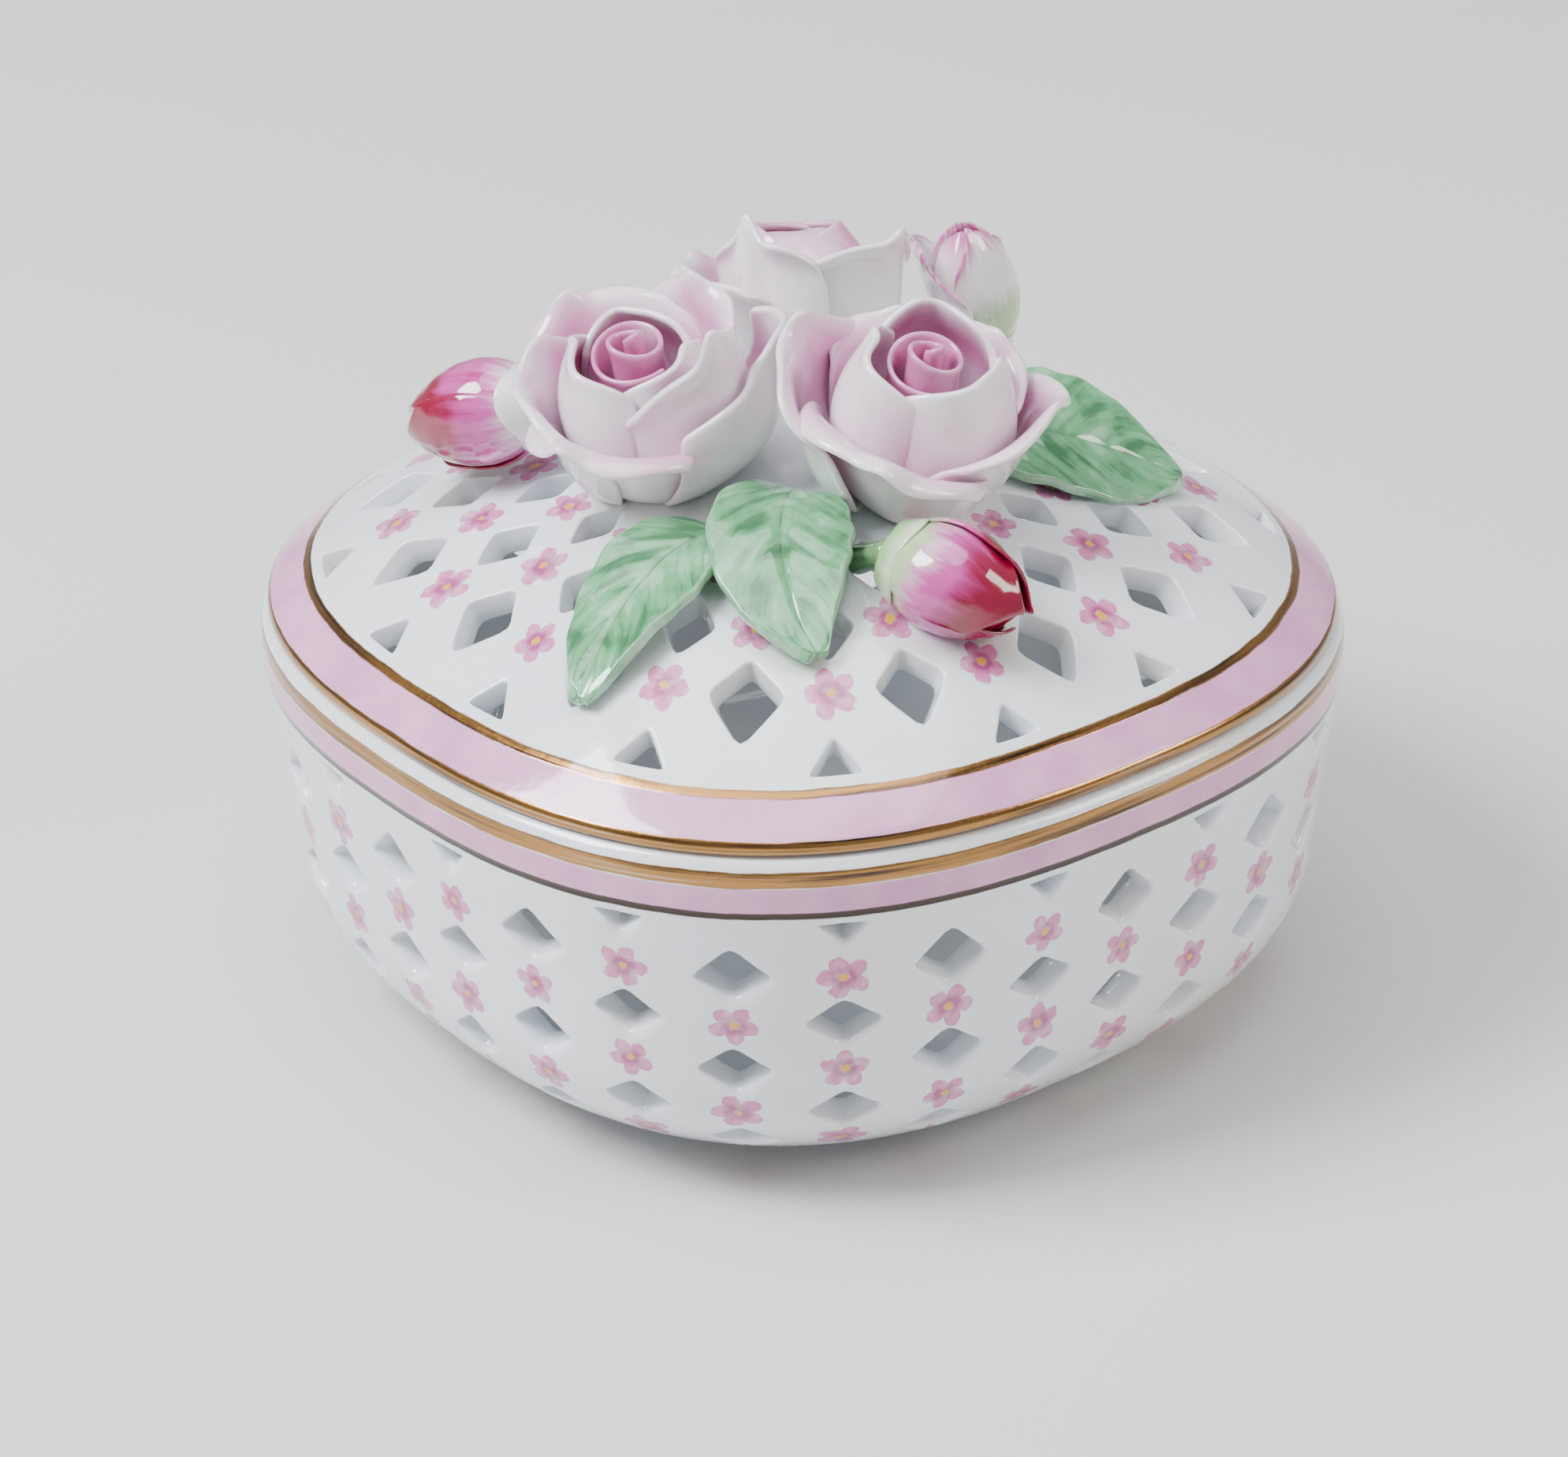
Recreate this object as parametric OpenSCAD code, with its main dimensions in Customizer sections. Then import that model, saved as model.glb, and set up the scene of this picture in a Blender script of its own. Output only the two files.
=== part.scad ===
// Porcelain trinket box: a pierced, rounded-square bowl and a pierced domed lid
// that lifts off. Three hand-built roses, three rosebuds and three leaves stand
// on the lid. All lengths are in millimetres and all angles in degrees.
// The box stands on its foot ring at z = 0, with its sides along X and Y.

/* [Plan outline] */
// Half the width of the lid, from side to side
half_width = 57.5; // [50:0.5:60]
// Squareness of the outline: 2 is a circle, and more is squarer
squareness = 2.5; // [2.2:0.1:3]

/* [Bowl] */
// Height of the bowl's rim
rim_height = 47; // [45:0.5:50]
// Height of the line under the painted band, where the piercing starts
band_height = 40.4; // [39:0.2:42]
// Inward slope of the wall below the band
wall_draft = 6; // [4:0.5:9]
// Radius of the bend from the wall into the bottom
bend_radius = 18; // [16:0.5:20]
// Thickness of the porcelain wall
wall = 3.2; // [2.6:0.1:3.6]
// Half-width of the foot ring's outside
foot_half_width = 40.6; // [38:0.2:42]
// Width of the foot ring's resting face
foot_face = 2.6; // [2:0.2:4]
// Height of the recess inside the foot ring
foot_recess = 0.9; // [0.4:0.1:1.2]

/* [Lid] */
// Height of the top of the dome
dome_top = 69; // [67:0.1:71]
// Radius of the dome
dome_radius = 91; // [88:0.1:96]
// Thickness of the lid
lid_wall = 3; // [2.6:0.1:3.4]
// Half-width of the dome inside the painted band
lid_band_inner = 52.9; // [52:0.1:54]
// Gap between the lid's underside and the bowl's rim
seat_gap = 0.15; // [0.05:0.05:0.3]
// Gap between the lid's flange and the inside of the rim
flange_gap = 0.5; // [0.3:0.1:0.8]
// Depth that the flange reaches into the bowl
flange_depth = 3.4; // [2.5:0.1:5]

/* [Piercing] */
// Pitch of the rows of holes down the bowl's wall
bowl_row_pitch = 6.2; // [6:0.1:6.4]
// Distance from the band's line to the first full row on the bowl
bowl_first_row = 8.4; // [8:0.1:9]
// Pitch of the rings of holes on the lid
lid_row_pitch = 7.5; // [7:0.1:7.8]
// Distance from the lid's band to its first full ring of holes
lid_first_row = 9.8; // [9:0.1:10.5]
// Half-width of a hole as a share of the column pitch
hole_width = 0.36; // [0.3:0.01:0.42]
// Half-height of a hole as a share of the row pitch
hole_height = 0.44; // [0.36:0.01:0.48]
// Size of a hole on the inner face against the outer face
hole_taper = 0.84; // [0.75:0.01:1]

/* [Roses] */
// Thickness of a petal
petal_thickness = 1; // [0.8:0.1:1.2]
// Length of every petal against its own length in the tables below
petal_stretch = 1; // [0.95:0.01:1.03]
// Radius of the rolled heart
heart_radius = 5; // [4.6:0.1:5.2]

/* [Buds and leaves] */
// Radius of every rosebud against its own radius in the table below
bud_stretch = 1; // [0.9:0.01:1.05]
// Gap between a bud and the calyx around it
calyx_gap = 0.1; // [0.05:0.05:0.2]
// Thickness of a leaf
leaf_thickness = 1.5; // [1.2:0.1:1.7]

/* [Hidden] */
ROSES = ["left", "right", "back"];
CUP_PETALS = 3;
OUTER_PETALS = [6, 5, 6];
BUDS = ["left", "front", "back"];
LEAVES = ["left", "middle", "right"];

PORCELAIN = [0.93, 0.94, 0.95];
PETAL_PINK = [0.93, 0.84, 0.89];
BUD_PINK = [0.82, 0.25, 0.48];
LEAF_GREEN = [0.45, 0.68, 0.48];

// The piercing is a chequer of COLUMNS columns round the box. A full hole stands
// where column + row is odd, and a plain crossing where it is even.
COLUMNS = 32;
BOWL_ROWS = 6;
LID_ROWS = 4;
CORNER_ANGLE = 225;  // column 0 stands at this corner
OUTSIDE = 0;
INSIDE = 1;

// ---- Closed surfaces from lists of triangles ----

function quad(p, q, r, s) = [[p, q, r], [p, r, s]];
function flipped(tris) = [for (t = tris) [t[0], t[2], t[1]]];
// Triangles between two closed rings with the same number of points
function strip(a, b) =
    let (n = len(a))
    [for (i = [0:n - 1]) each quad(a[i], a[(i + 1) % n], b[(i + 1) % n], b[i])];
// Triangles from a closed ring to a point
function fan(ring, tip) =
    let (n = len(ring)) [for (i = [0:n - 1]) [ring[i], ring[(i + 1) % n], tip]];
// Strips through a list of rings
function strips(rings) =
    [for (i = [0:len(rings) - 2]) each strip(rings[i], rings[i + 1])];

module closed_surface(tris) {
    polyhedron(
        [for (t = tris) each t],
        [for (i = [0:len(tris) - 1]) [3 * i, 3 * i + 1, 3 * i + 2]]);
}

// ---- Plan outline ----

function outline(angle) =
    pow(pow(abs(cos(angle)), squareness) + pow(abs(sin(angle)), squareness),
        -1 / squareness);
// A point on the level ring whose half-width is w, at a column of the piercing
function ring_point(w, z, column) =
    let (angle = CORNER_ANGLE + wrapped(column) * 360 / COLUMNS, r = w * outline(angle))
    [r * cos(angle), r * sin(angle), z];
function wrapped(column) = column - COLUMNS * floor(column / COLUMNS);
function ring(wz, step = 0.5) =
    [for (c = [0:step:COLUMNS - step]) ring_point(wz[0], wz[1], c)];

// ---- Bowl ----

band_half_width = half_width + 0.7;
bend_centre_z = bend_radius + foot_recess + 0.6;
wall_end_z = bend_centre_z - bend_radius * sin(wall_draft);
wall_length = (band_height - wall_end_z) / cos(wall_draft);
bend_centre_w = band_half_width - wall_length * sin(wall_draft)
    - bend_radius * cos(wall_draft);

// Half-width and height of the bowl's wall at a distance below the band's line,
// moved inwards by inset
function bowl_profile(distance, inset) =
    distance < wall_length
    ? [band_half_width - distance * sin(wall_draft) - inset * cos(wall_draft),
       band_height - distance * cos(wall_draft) + inset * sin(wall_draft)]
    : let (turn = wall_draft + (distance - wall_length) / bend_radius * 180 / PI)
      bend_point(turn, inset);
function bend_point(turn, inset) =
    [bend_centre_w + (bend_radius - inset) * cos(turn),
     bend_centre_z - (bend_radius - inset) * sin(turn)];
function bowl_distance(row) =
    row < 1 ? row * bowl_first_row : bowl_first_row + (row - 1) * bowl_row_pitch;
bowl_at = function (side, column, row)
    let (wz = bowl_profile(bowl_distance(row), side == INSIDE ? wall : 0))
    ring_point(wz[0], wz[1], column);

rim_inner = half_width - 3.6;
// From the band's line up the outside, over the rim and down the inside
rim_profile = [
    bowl_profile(0, 0),
    [half_width + 0.85, band_height + 2.2],
    [half_width + 0.9, rim_height - 2],
    [half_width + 0.6, rim_height - 0.8],
    [half_width, rim_height - 0.15],
    [half_width - 0.9, rim_height],
    [rim_inner + 0.5, rim_height],
    [rim_inner, rim_height - 0.5],
    [rim_inner, rim_height - 4],
    bowl_profile(0, wall)];
foot_top_turn = acos((foot_half_width + 0.4 - bend_centre_w) / bend_radius);
foot_profile = [
    bowl_profile(bowl_distance(BOWL_ROWS), 0),
    bend_point(foot_top_turn, 0),
    [foot_half_width, 0.4],
    [foot_half_width - 0.4, 0],
    [foot_half_width - foot_face, 0],
    [foot_half_width - foot_face - 0.5, foot_recess]];
floor_profile = [
    bowl_profile(bowl_distance(BOWL_ROWS), wall),
    bend_point(76, wall),
    bend_point(90, wall)];

// ---- Lid ----

function dome_z(w, inset = 0) =
    dome_top - dome_radius + sqrt(pow(dome_radius - inset, 2) - w * w);
function dome_point(w, inset) =
    let (k = (dome_radius - inset) / dome_radius) [w * k, dome_z(w * k, inset)];
function lid_w(row) =
    lid_band_inner
    - (row < 1 ? row * lid_first_row : lid_first_row + (row - 1) * lid_row_pitch);
lid_at = function (side, column, row)
    let (wz = dome_point(lid_w(row), side == INSIDE ? lid_wall : 0))
    ring_point(wz[0], wz[1], column);

lid_under = rim_height + seat_gap;
flange_outer = rim_inner - flange_gap;
flange_low = rim_height - flange_depth;
flange_inner = flange_outer - 2.5;
// From the dome's band out to the edge, under it, round the flange and back inside
lid_profile = [
    dome_point(lid_band_inner, 0),
    dome_point((lid_band_inner + half_width) / 2, 0),
    dome_point(half_width - 0.5, 0),
    [half_width, lid_under + 1.1],
    [half_width, lid_under + 0.5],
    [half_width - 0.5, lid_under],
    [flange_outer, lid_under],
    [flange_outer, flange_low + 0.6],
    [flange_outer - 0.6, flange_low],
    [flange_inner + 0.6, flange_low],
    [flange_inner, flange_low + 0.6],
    [flange_inner, lid_under + 1.2],
    dome_point(lid_band_inner, lid_wall)];
cap_ws = [lid_w(LID_ROWS), lid_w(LID_ROWS) * 0.66, lid_w(LID_ROWS) * 0.33];

// ---- Pierced cells ----
// A cell is the diamond between four crossings, with eight points on its border
// and eight on its hole. [columns, rows] are counted from the hole's centre.

CELL = [[1, 0], [0.5, 0.5], [0, 1], [-0.5, 0.5], [-1, 0], [-0.5, -0.5], [0, -1], [0.5, -0.5]];
HOLE_BULGE = 1.12;
function hole_of(cell) =
    [for (p = cell)
        let (bulge = p[0] == 0 || p[1] == 0 ? 1 : HOLE_BULGE)
        [p[0] * hole_width * bulge, p[1] * hole_height * bulge]];
// The half cell against a band: its border runs along the band's line
HALF_CELL = [
    [-1, 0], [-0.5, 0], [0, 0], [0.5, 0], [1, 0], [0.5, 0.5], [0, 1], [-0.5, 0.5]];
HALF_HOLE_TOP = 0.13;
HALF_HOLE_TIP = 0.38;
HALF_HOLE_SPAN = 0.62;  // its width against a whole hole's
half_hole = [
    for (p = [[-1, 0], [-0.5, 0], [0, 0], [0.5, 0], [1, 0], [0.55, 0.5], [0, 1], [-0.55, 0.5]])
        [p[0] * hole_width * HALF_HOLE_SPAN,
         HALF_HOLE_TOP + p[1] * (HALF_HOLE_TIP - HALF_HOLE_TOP)]];

function placed(at, side, centre, shape, scale = 1) =
    [for (p = shape) at(side, centre[0] + p[0] * scale, centre[1] + p[1] * scale)];
function pierced(at, centre, cell, hole, middle = 0) =
    let (
        small = [for (p = hole) [p[0] * hole_taper, middle + (p[1] - middle) * hole_taper]],
        out = placed(at, OUTSIDE, centre, cell),
        out_hole = placed(at, OUTSIDE, centre, hole),
        in_hole = placed(at, INSIDE, centre, small),
        in = placed(at, INSIDE, centre, cell))
    strips([out, out_hole, in_hole, in]);
function plain(at, centre, cell) =
    let (
        out = placed(at, OUTSIDE, centre, cell),
        in = placed(at, INSIDE, centre, cell),
        n = len(cell))
    concat(
        [for (i = [1:n - 2]) [out[0], out[i], out[i + 1]]],
        [for (i = [1:n - 2]) [in[0], in[i + 1], in[i]]]);
// All cells from the band's line down to the last row
function piercing(at, rows) = concat(
    [for (r = [1:rows - 1]) for (c = [(r + 1) % 2:2:COLUMNS - 1])
        each pierced(at, [c, r], CELL, hole_of(CELL))],
    [for (c = [1:2:COLUMNS - 1])
        each pierced(at, [c, 0], HALF_CELL, half_hole, HALF_HOLE_TOP + 0.1)],
    [for (c = [(rows + 1) % 2:2:COLUMNS - 1])
        each plain(at, [c, rows], [for (p = HALF_CELL) [-p[0], -p[1]]])]);

module base_bowl() {
    color(PORCELAIN) closed_surface(concat(
        piercing(bowl_at, BOWL_ROWS),
        flipped(strips([for (p = rim_profile) ring(p)])),
        strips([for (p = foot_profile) ring(p)]),
        fan(ring(foot_profile[5]), [0, 0, foot_recess]),
        flipped(strips([for (p = floor_profile) ring(p)])),
        flipped(fan(ring(floor_profile[2]), [0, 0, floor_profile[2][1]]))));
}

module lid_shell() {
    color(PORCELAIN) closed_surface(concat(
        flipped(piercing(lid_at, LID_ROWS)),
        strips([for (p = lid_profile) ring(p)]),
        flipped(strips([for (w = cap_ws) ring(dome_point(w, 0))])),
        flipped(fan(ring(dome_point(cap_ws[2], 0)), [0, 0, dome_z(0)])),
        strips([for (w = cap_ws) ring(dome_point(w, lid_wall))]),
        fan(ring(dome_point(cap_ws[2], lid_wall)), [0, 0, dome_z(0, lid_wall)])));
}

// ---- Roses ----
// A rose stands on its own axis, with its base at z = 0.
// Each place: base point, tilt from upright, the way it tilts, height of the heart,
// and how far the base is pressed into the lid's clay.
ROSE_PLACES = [
    [[-16.5, 3.6, 66.4], 16, 195, 19.2, 1.2],
    [[1.4, -18.1, 66.2], 15, 262, 20.4, 1.2],
    [[8.8, 10.2, 68], 18, 56, 14.5, 2.2]];
// Each petal: azimuth, length, half-width, lean half way up, lean at the tip
CUP_PLACES = [
    [[168, 19, 9, -4, -40], [288, 17, 8.6, -6, -42], [48, 18, 9, -7, -44]],
    [[158, 20.4, 9.8, -3, -42], [276, 20.4, 9.8, -3, -42], [38, 20.6, 9.8, -5, -36]],
    [[236, 21, 10.4, -9, -110], [350, 19, 9.8, -5, -74], [112, 19.2, 10, -5, -78]]];
OUTER_PLACES = [
    [[212, 19, 11.4, -6, 80], [262, 20, 10.2, -5, -8], [312, 22, 13.4, 40, -40],
     [14, 20, 9, -4, 24], [72, 19.5, 11, 0, 36], [150, 19, 12.2, -2, 20]],
    [[212, 19.5, 13, -8, 80], [306, 19, 12.5, 2, 32], [12, 18, 9.5, -4, 30],
     [66, 18, 9.5, -4, 30], [136, 21, 12.8, 14, 16]],
    [[176, 17.5, 10.5, 8, 50], [206, 19.5, 8.5, -2, 0], [268, 18, 11, -5, 14],
     [345, 17, 9.5, 0, 26], [50, 16.5, 10, 0, 30], [112, 17, 10.5, 4, 36]]];

module on_rose(place) {
    translate(place[0])
        rotate([0, 0, place[2]])
            rotate([0, place[1], 0])
                rotate([0, 0, -place[2]])
                    children();
}

RECEPTACLE_RADIUS = 4.8;
RECEPTACLE_TOP = 4.5;
HEART_TURNS = 1.75;
HEART_STEPS = 28;
HEART_STRIP = 0.9;  // thickness of the rolled strip

function spiral_point(share, offset) =
    let (angle = share * HEART_TURNS * 360, r = 0.9 + share * (heart_radius - 1.4) + offset)
    [r * cos(angle), r * sin(angle)];

// The heart is one strip of clay rolled round itself on the receptacle
module rose_heart(place) {
    color(PETAL_PINK) on_rose(place) {
        translate([0, 0, RECEPTACLE_TOP - 0.5])
            linear_extrude(place[3] - RECEPTACLE_TOP + 0.5)
                polygon(concat(
                    [for (i = [0:HEART_STEPS]) spiral_point(i / HEART_STEPS, HEART_STRIP / 2)],
                    [for (i = [HEART_STEPS:-1:0]) spiral_point(i / HEART_STEPS, -HEART_STRIP / 2)]));
        translate([0, 0, RECEPTACLE_TOP - 1.5])
            cylinder(r1 = RECEPTACLE_RADIUS, r2 = heart_radius, h = 3.5, $fn = 48);
        translate([0, 0, -place[4]])
            cylinder(r = RECEPTACLE_RADIUS, h = RECEPTACLE_TOP + place[4], $fn = 48);
    }
}

// A petal is [azimuth, root radius, root height, length, half-width,
// lean at the root, lean half way, lean at the tip, sideways spiral, wrap].
// Leans are from upright, outwards; wrap is its hoop radius against its distance
// from the axis.
function lean(p, v) = p[5] * pow(1 - v, 3) + 3 * p[6] * v * (1 - v) + p[7] * pow(v, 3);
MIDLINE_STEPS = 10;
function midline(p, v) =
    let (
        ones = [for (i = [1:MIDLINE_STEPS]) 1],
        dirs = [for (i = [1:MIDLINE_STEPS])
            let (a = lean(p, v * (i - 0.5) / MIDLINE_STEPS)) [sin(a), cos(a)]])
    [p[1], p[2]] + ones * dirs * (p[3] * v / MIDLINE_STEPS);
PETAL_BELLY = 0.6;
PETAL_ROOT = 0.35;
function petal_width(p, v) =
    let (reach = v < PETAL_BELLY ? (PETAL_BELLY - v) / PETAL_BELLY
                                 : (v - PETAL_BELLY) / (1.01 - PETAL_BELLY))
    p[4] * (v < PETAL_BELLY ? 1 - (1 - PETAL_ROOT) * reach * reach
                            : pow(1 - pow(reach, 3.2), 0.5));
function petal_point(p, u, v) =
    let (
        m = midline(p, v),
        hoop = max(m[0], p[1]) * p[9],
        turn = petal_width(p, v) * u / hoop * 180 / PI,
        out = m[0] - hoop * (1 - cos(turn)) + p[8] * u,
        side = hoop * sin(turn))
    [out * cos(p[0]) - side * sin(p[0]), out * sin(p[0]) + side * cos(p[0]), m[1]];
STEP_UV = 0.01;
function petal_normal(p, u, v) =
    let (
        du = petal_point(p, u + STEP_UV, v) - petal_point(p, u - STEP_UV, v),
        dv = petal_point(p, u, min(v + STEP_UV, 1)) - petal_point(p, u, max(v - STEP_UV, 0)),
        n = cross(du, dv))
    n / norm(n);
PETAL_ACROSS = 6;
PETAL_ALONG = 5;

// A thin closed sheet between a function's two faces, on a grid of u and v
function sheet(face, across, along) =
    let (
        grid = [for (s = [0, 1]) [for (j = [0:along]) [for (i = [0:across])
            face(2 * s - 1, 2 * i / across - 1, j / along)]]],
        skin = [for (s = [0, 1]) [for (j = [0:along - 1]) for (i = [0:across - 1])
            each quad(grid[s][j][i], grid[s][j][i + 1], grid[s][j + 1][i + 1], grid[s][j + 1][i])]],
        border = [for (s = [0, 1]) concat(
            [for (i = [0:across]) grid[s][0][i]],
            [for (j = [1:along]) grid[s][j][across]],
            [for (i = [across - 1:-1:0]) grid[s][along][i]],
            [for (j = [along - 1:-1:1]) grid[s][j][0]])])
    concat(skin[0], flipped(skin[1]), flipped(strip(border[0], border[1])));

module petal(place, p) {
    face = function (s, u, v)
        petal_point(p, u, v) + petal_normal(p, u, v) * s * petal_thickness / 2;
    color(PETAL_PINK) on_rose(place)
        closed_surface(sheet(face, PETAL_ACROSS, PETAL_ALONG));
}
module cup_petal(place, way) {
    petal(place, [way[0], 4.4, 2.6, way[1] * petal_stretch, way[2], 88, way[3], way[4], 0.9, 1.02]);
}
module outer_petal(place, way) {
    petal(place, [way[0], 4.4, 1.1, way[1] * petal_stretch, way[2], 104, way[3], way[4], 1.7, 1.1]);
}

// ---- Buds ----
// Each entry: the bud's base, its tip, the foot of its stem in the lid, and its radius
BUD_PLACES = [
    [[-25.7, 13.9, 73.6], [-34.2, 27.4, 68.4], [-21.5, 11, 65.2], 6.2],
    [[-11.5, -31, 67.8], [-4.6, -45.2, 63.3], [-11.5, -24.5, 64.2], 6.2],
    [[31, 3.6, 68.2], [25.8, 2.6, 84.6], [29.6, 4.4, 62.8], 5]];
// [share of the length, share of the radius], from the base to the tip
BUD_OUTLINE = [
    [0, 0.3], [0.05, 0.52], [0.14, 0.74], [0.26, 0.92], [0.4, 1],
    [0.55, 0.97], [0.7, 0.84], [0.84, 0.6], [0.94, 0.34], [1, 0.1]];
CALYX_WALL = 0.8;
CALYX_POINTS = 3;  // points of the bud's outline that the calyx covers
STEM_RADIUS = 1.5;

module along(start, end) {
    d = end - start;
    translate(start)
        rotate([0, acos(d[2] / norm(d)), atan2(d[1], d[0])])
            children();
}
function bud_length(place) = norm(place[1] - place[0]);
function bud_point(place, p, grow) =
    [p[1] * place[3] * bud_stretch + grow, p[0] * bud_length(place) - grow * 0.6];
module bud(place) {
    color(BUD_PINK) along(place[0], place[1]) rotate_extrude($fn = 64)
        polygon(concat(
            [[0, 0]],
            [for (p = BUD_OUTLINE) bud_point(place, p, 0)],
            [[0, bud_length(place)]]));
}
// The calyx is a cup round the bottom of the bud, on a stem that stands in the lid
module calyx(place) {
    cup = [for (i = [0:CALYX_POINTS - 1]) BUD_OUTLINE[i]];
    stem_top = place[0] - (place[1] - place[0]) * 0.06;
    color(LEAF_GREEN) {
        along(place[0], place[1]) rotate_extrude($fn = 64)
            polygon(concat(
                [[0, -STEM_RADIUS], [STEM_RADIUS * 0.8, -STEM_RADIUS]],
                [for (p = cup) bud_point(place, p, calyx_gap + CALYX_WALL)],
                [for (i = [CALYX_POINTS - 1:-1:0]) bud_point(place, cup[i], calyx_gap)],
                [[0, -calyx_gap]]));
        along(stem_top, place[2])
            cylinder(r = STEM_RADIUS, h = norm(place[2] - stem_top), $fn = 32);
    }
}

// ---- Leaves ----
// Each entry: root point, the way the root points, turn from root to tip, length,
// half-width, rise of its arch, and how steeply it banks up to its left
LEAF_PLACES = [
    [[-22, -14.5], 178, 34, 25, 6.4, 2.6, 0],
    [[-11, -14.5], 210, 52, 26, 8, 3, 0],
    [[12, -15.5], -32, 10, 25, 8.4, 3, 0.4]];
LEAF_ROOT = -0.2;   // height of its root over the dome
LEAF_TIP = 1.5;     // height of its tip over the dome
LEAF_CUP = 0.16;    // rise of its edges, as a share of its half-width
LEAF_ACROSS = 4;
LEAF_ALONG = 8;
function dome_over(x, y) =
    dome_z(pow(pow(abs(x), squareness) + pow(abs(y), squareness), 1 / squareness));
function leaf_width(leaf, v) = leaf[4] * max(sin(180 * pow(0.04 + 0.93 * v, 0.8)), 0.12);
// A leaf's middle line is an arc in plan, and arches over the dome
function leaf_middle(leaf, v) =
    let (
        bend_r = leaf[3] / (leaf[2] * PI / 180),
        way = leaf[1] + leaf[2] * v,
        x = leaf[0][0] + bend_r * (sin(way) - sin(leaf[1])),
        y = leaf[0][1] - bend_r * (cos(way) - cos(leaf[1])))
    [x, y, dome_over(x, y) + LEAF_ROOT + (LEAF_TIP - LEAF_ROOT) * v
        + leaf[5] * sin(180 * pow(v, 0.55))];
function leaf_side(leaf, v) =
    let (way = leaf[1] + leaf[2] * v) [-sin(way), cos(way), 0] * leaf_width(leaf, v);
// How far the dome falls away under a point beside the leaf's middle
function dome_fall(middle, side) =
    dome_over(middle[0] + side[0], middle[1] + side[1]) - dome_over(middle[0], middle[1]);
module leaf(leaf) {
    face = function (s, u, v)
        let (
            middle = leaf_middle(leaf, v),
            side = leaf_side(leaf, v) * u,
            up = [middle[0], middle[1], dome_radius] / norm([middle[0], middle[1], dome_radius]))
        middle + side + [0, 0, dome_fall(middle, side) + leaf[6] * leaf_width(leaf, v) * u]
        + up * (LEAF_CUP * leaf_width(leaf, v) * u * u + s * leaf_thickness / 2);
    color(LEAF_GREEN) closed_surface(flipped(sheet(face, LEAF_ACROSS, LEAF_ALONG)));
}

// ---- Assembly ----

base_bowl();
lid_shell();
for (k = [0:len(ROSES) - 1]) {
    rose = ROSES[k];
    place = ROSE_PLACES[k];
    rose_heart(place);
    for (i = [1:CUP_PETALS])
        cup_petal(place, CUP_PLACES[k][i - 1]);
    for (i = [1:OUTER_PETALS[k]])
        outer_petal(place, OUTER_PLACES[k][i - 1]);
}
for (k = [0:len(BUDS) - 1]) {
    bud(BUD_PLACES[k]);
    calyx(BUD_PLACES[k]);
}
for (k = [0:len(LEAVES) - 1])
    leaf(LEAF_PLACES[k]);
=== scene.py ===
"""Looks of the porcelain trinket box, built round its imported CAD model.

The shape functions work in millimetres and degrees, in the model's own frame.
Meshes are turned into metres when they become objects.
"""

import math

import bmesh
import bpy
import numpy as np
from mathutils import Matrix, Vector


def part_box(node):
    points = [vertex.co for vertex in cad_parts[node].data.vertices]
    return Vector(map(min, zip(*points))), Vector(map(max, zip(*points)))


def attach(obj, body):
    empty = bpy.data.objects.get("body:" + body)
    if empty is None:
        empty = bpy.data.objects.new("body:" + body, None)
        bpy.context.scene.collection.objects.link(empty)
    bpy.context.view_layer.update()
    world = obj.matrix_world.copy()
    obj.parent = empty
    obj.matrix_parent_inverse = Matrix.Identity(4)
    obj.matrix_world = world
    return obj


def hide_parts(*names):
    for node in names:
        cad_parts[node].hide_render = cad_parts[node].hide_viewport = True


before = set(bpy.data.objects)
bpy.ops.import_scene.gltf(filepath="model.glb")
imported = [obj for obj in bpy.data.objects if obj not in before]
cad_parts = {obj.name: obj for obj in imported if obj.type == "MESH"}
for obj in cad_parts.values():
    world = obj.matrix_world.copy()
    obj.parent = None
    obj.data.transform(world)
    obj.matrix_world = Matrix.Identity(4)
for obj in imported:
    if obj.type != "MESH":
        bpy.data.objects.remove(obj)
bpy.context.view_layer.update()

MM = 0.001
WELD = 2e-6  # metres; points this close become one
SLIVER = 1e-7
POLE = 0.01  # the radius left at the middle of a closed round form
rng = np.random.default_rng(7)

# ---- Sizes ----

bowl_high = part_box("base_bowl")[1] / MM
lid_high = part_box("lid_shell")[1] / MM
HALF_WIDTH = lid_high.x
RIM_HEIGHT = bowl_high.z
DOME_TOP = lid_high.z

SQUARENESS = 2.5
COLUMNS = 32
CORNER_ANGLE = 225

BAND_HEIGHT = RIM_HEIGHT - 6.6
BAND_HALF_WIDTH = HALF_WIDTH + 0.7
RIM_WIDTH = 3.6
WALL = 3.2
WALL_DRAFT = 6
BEND_RADIUS = 18
FOOT_HALF_WIDTH = 40.6
FOOT_FACE = 2.6
FOOT_RECESS = 0.9
BOTTOM_LIFT = 0.6
FLAT_RADIUS = 20
BOWL_ROWS = 6
BOWL_ROW_PITCH = 6.2
BOWL_FIRST_ROW = 8.4

DOME_RADIUS = 91
LID_WALL = 3
LID_BAND_INNER = 52.9
LID_ROWS = 4
LID_ROW_PITCH = 7.5
LID_FIRST_ROW = 9.8
SEAT_GAP = 0.15
FLANGE_GAP = 0.5
FLANGE_DEPTH = 3.4
FLANGE_THICKNESS = 2.5

# ---- Meshes from grids of points ----


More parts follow.
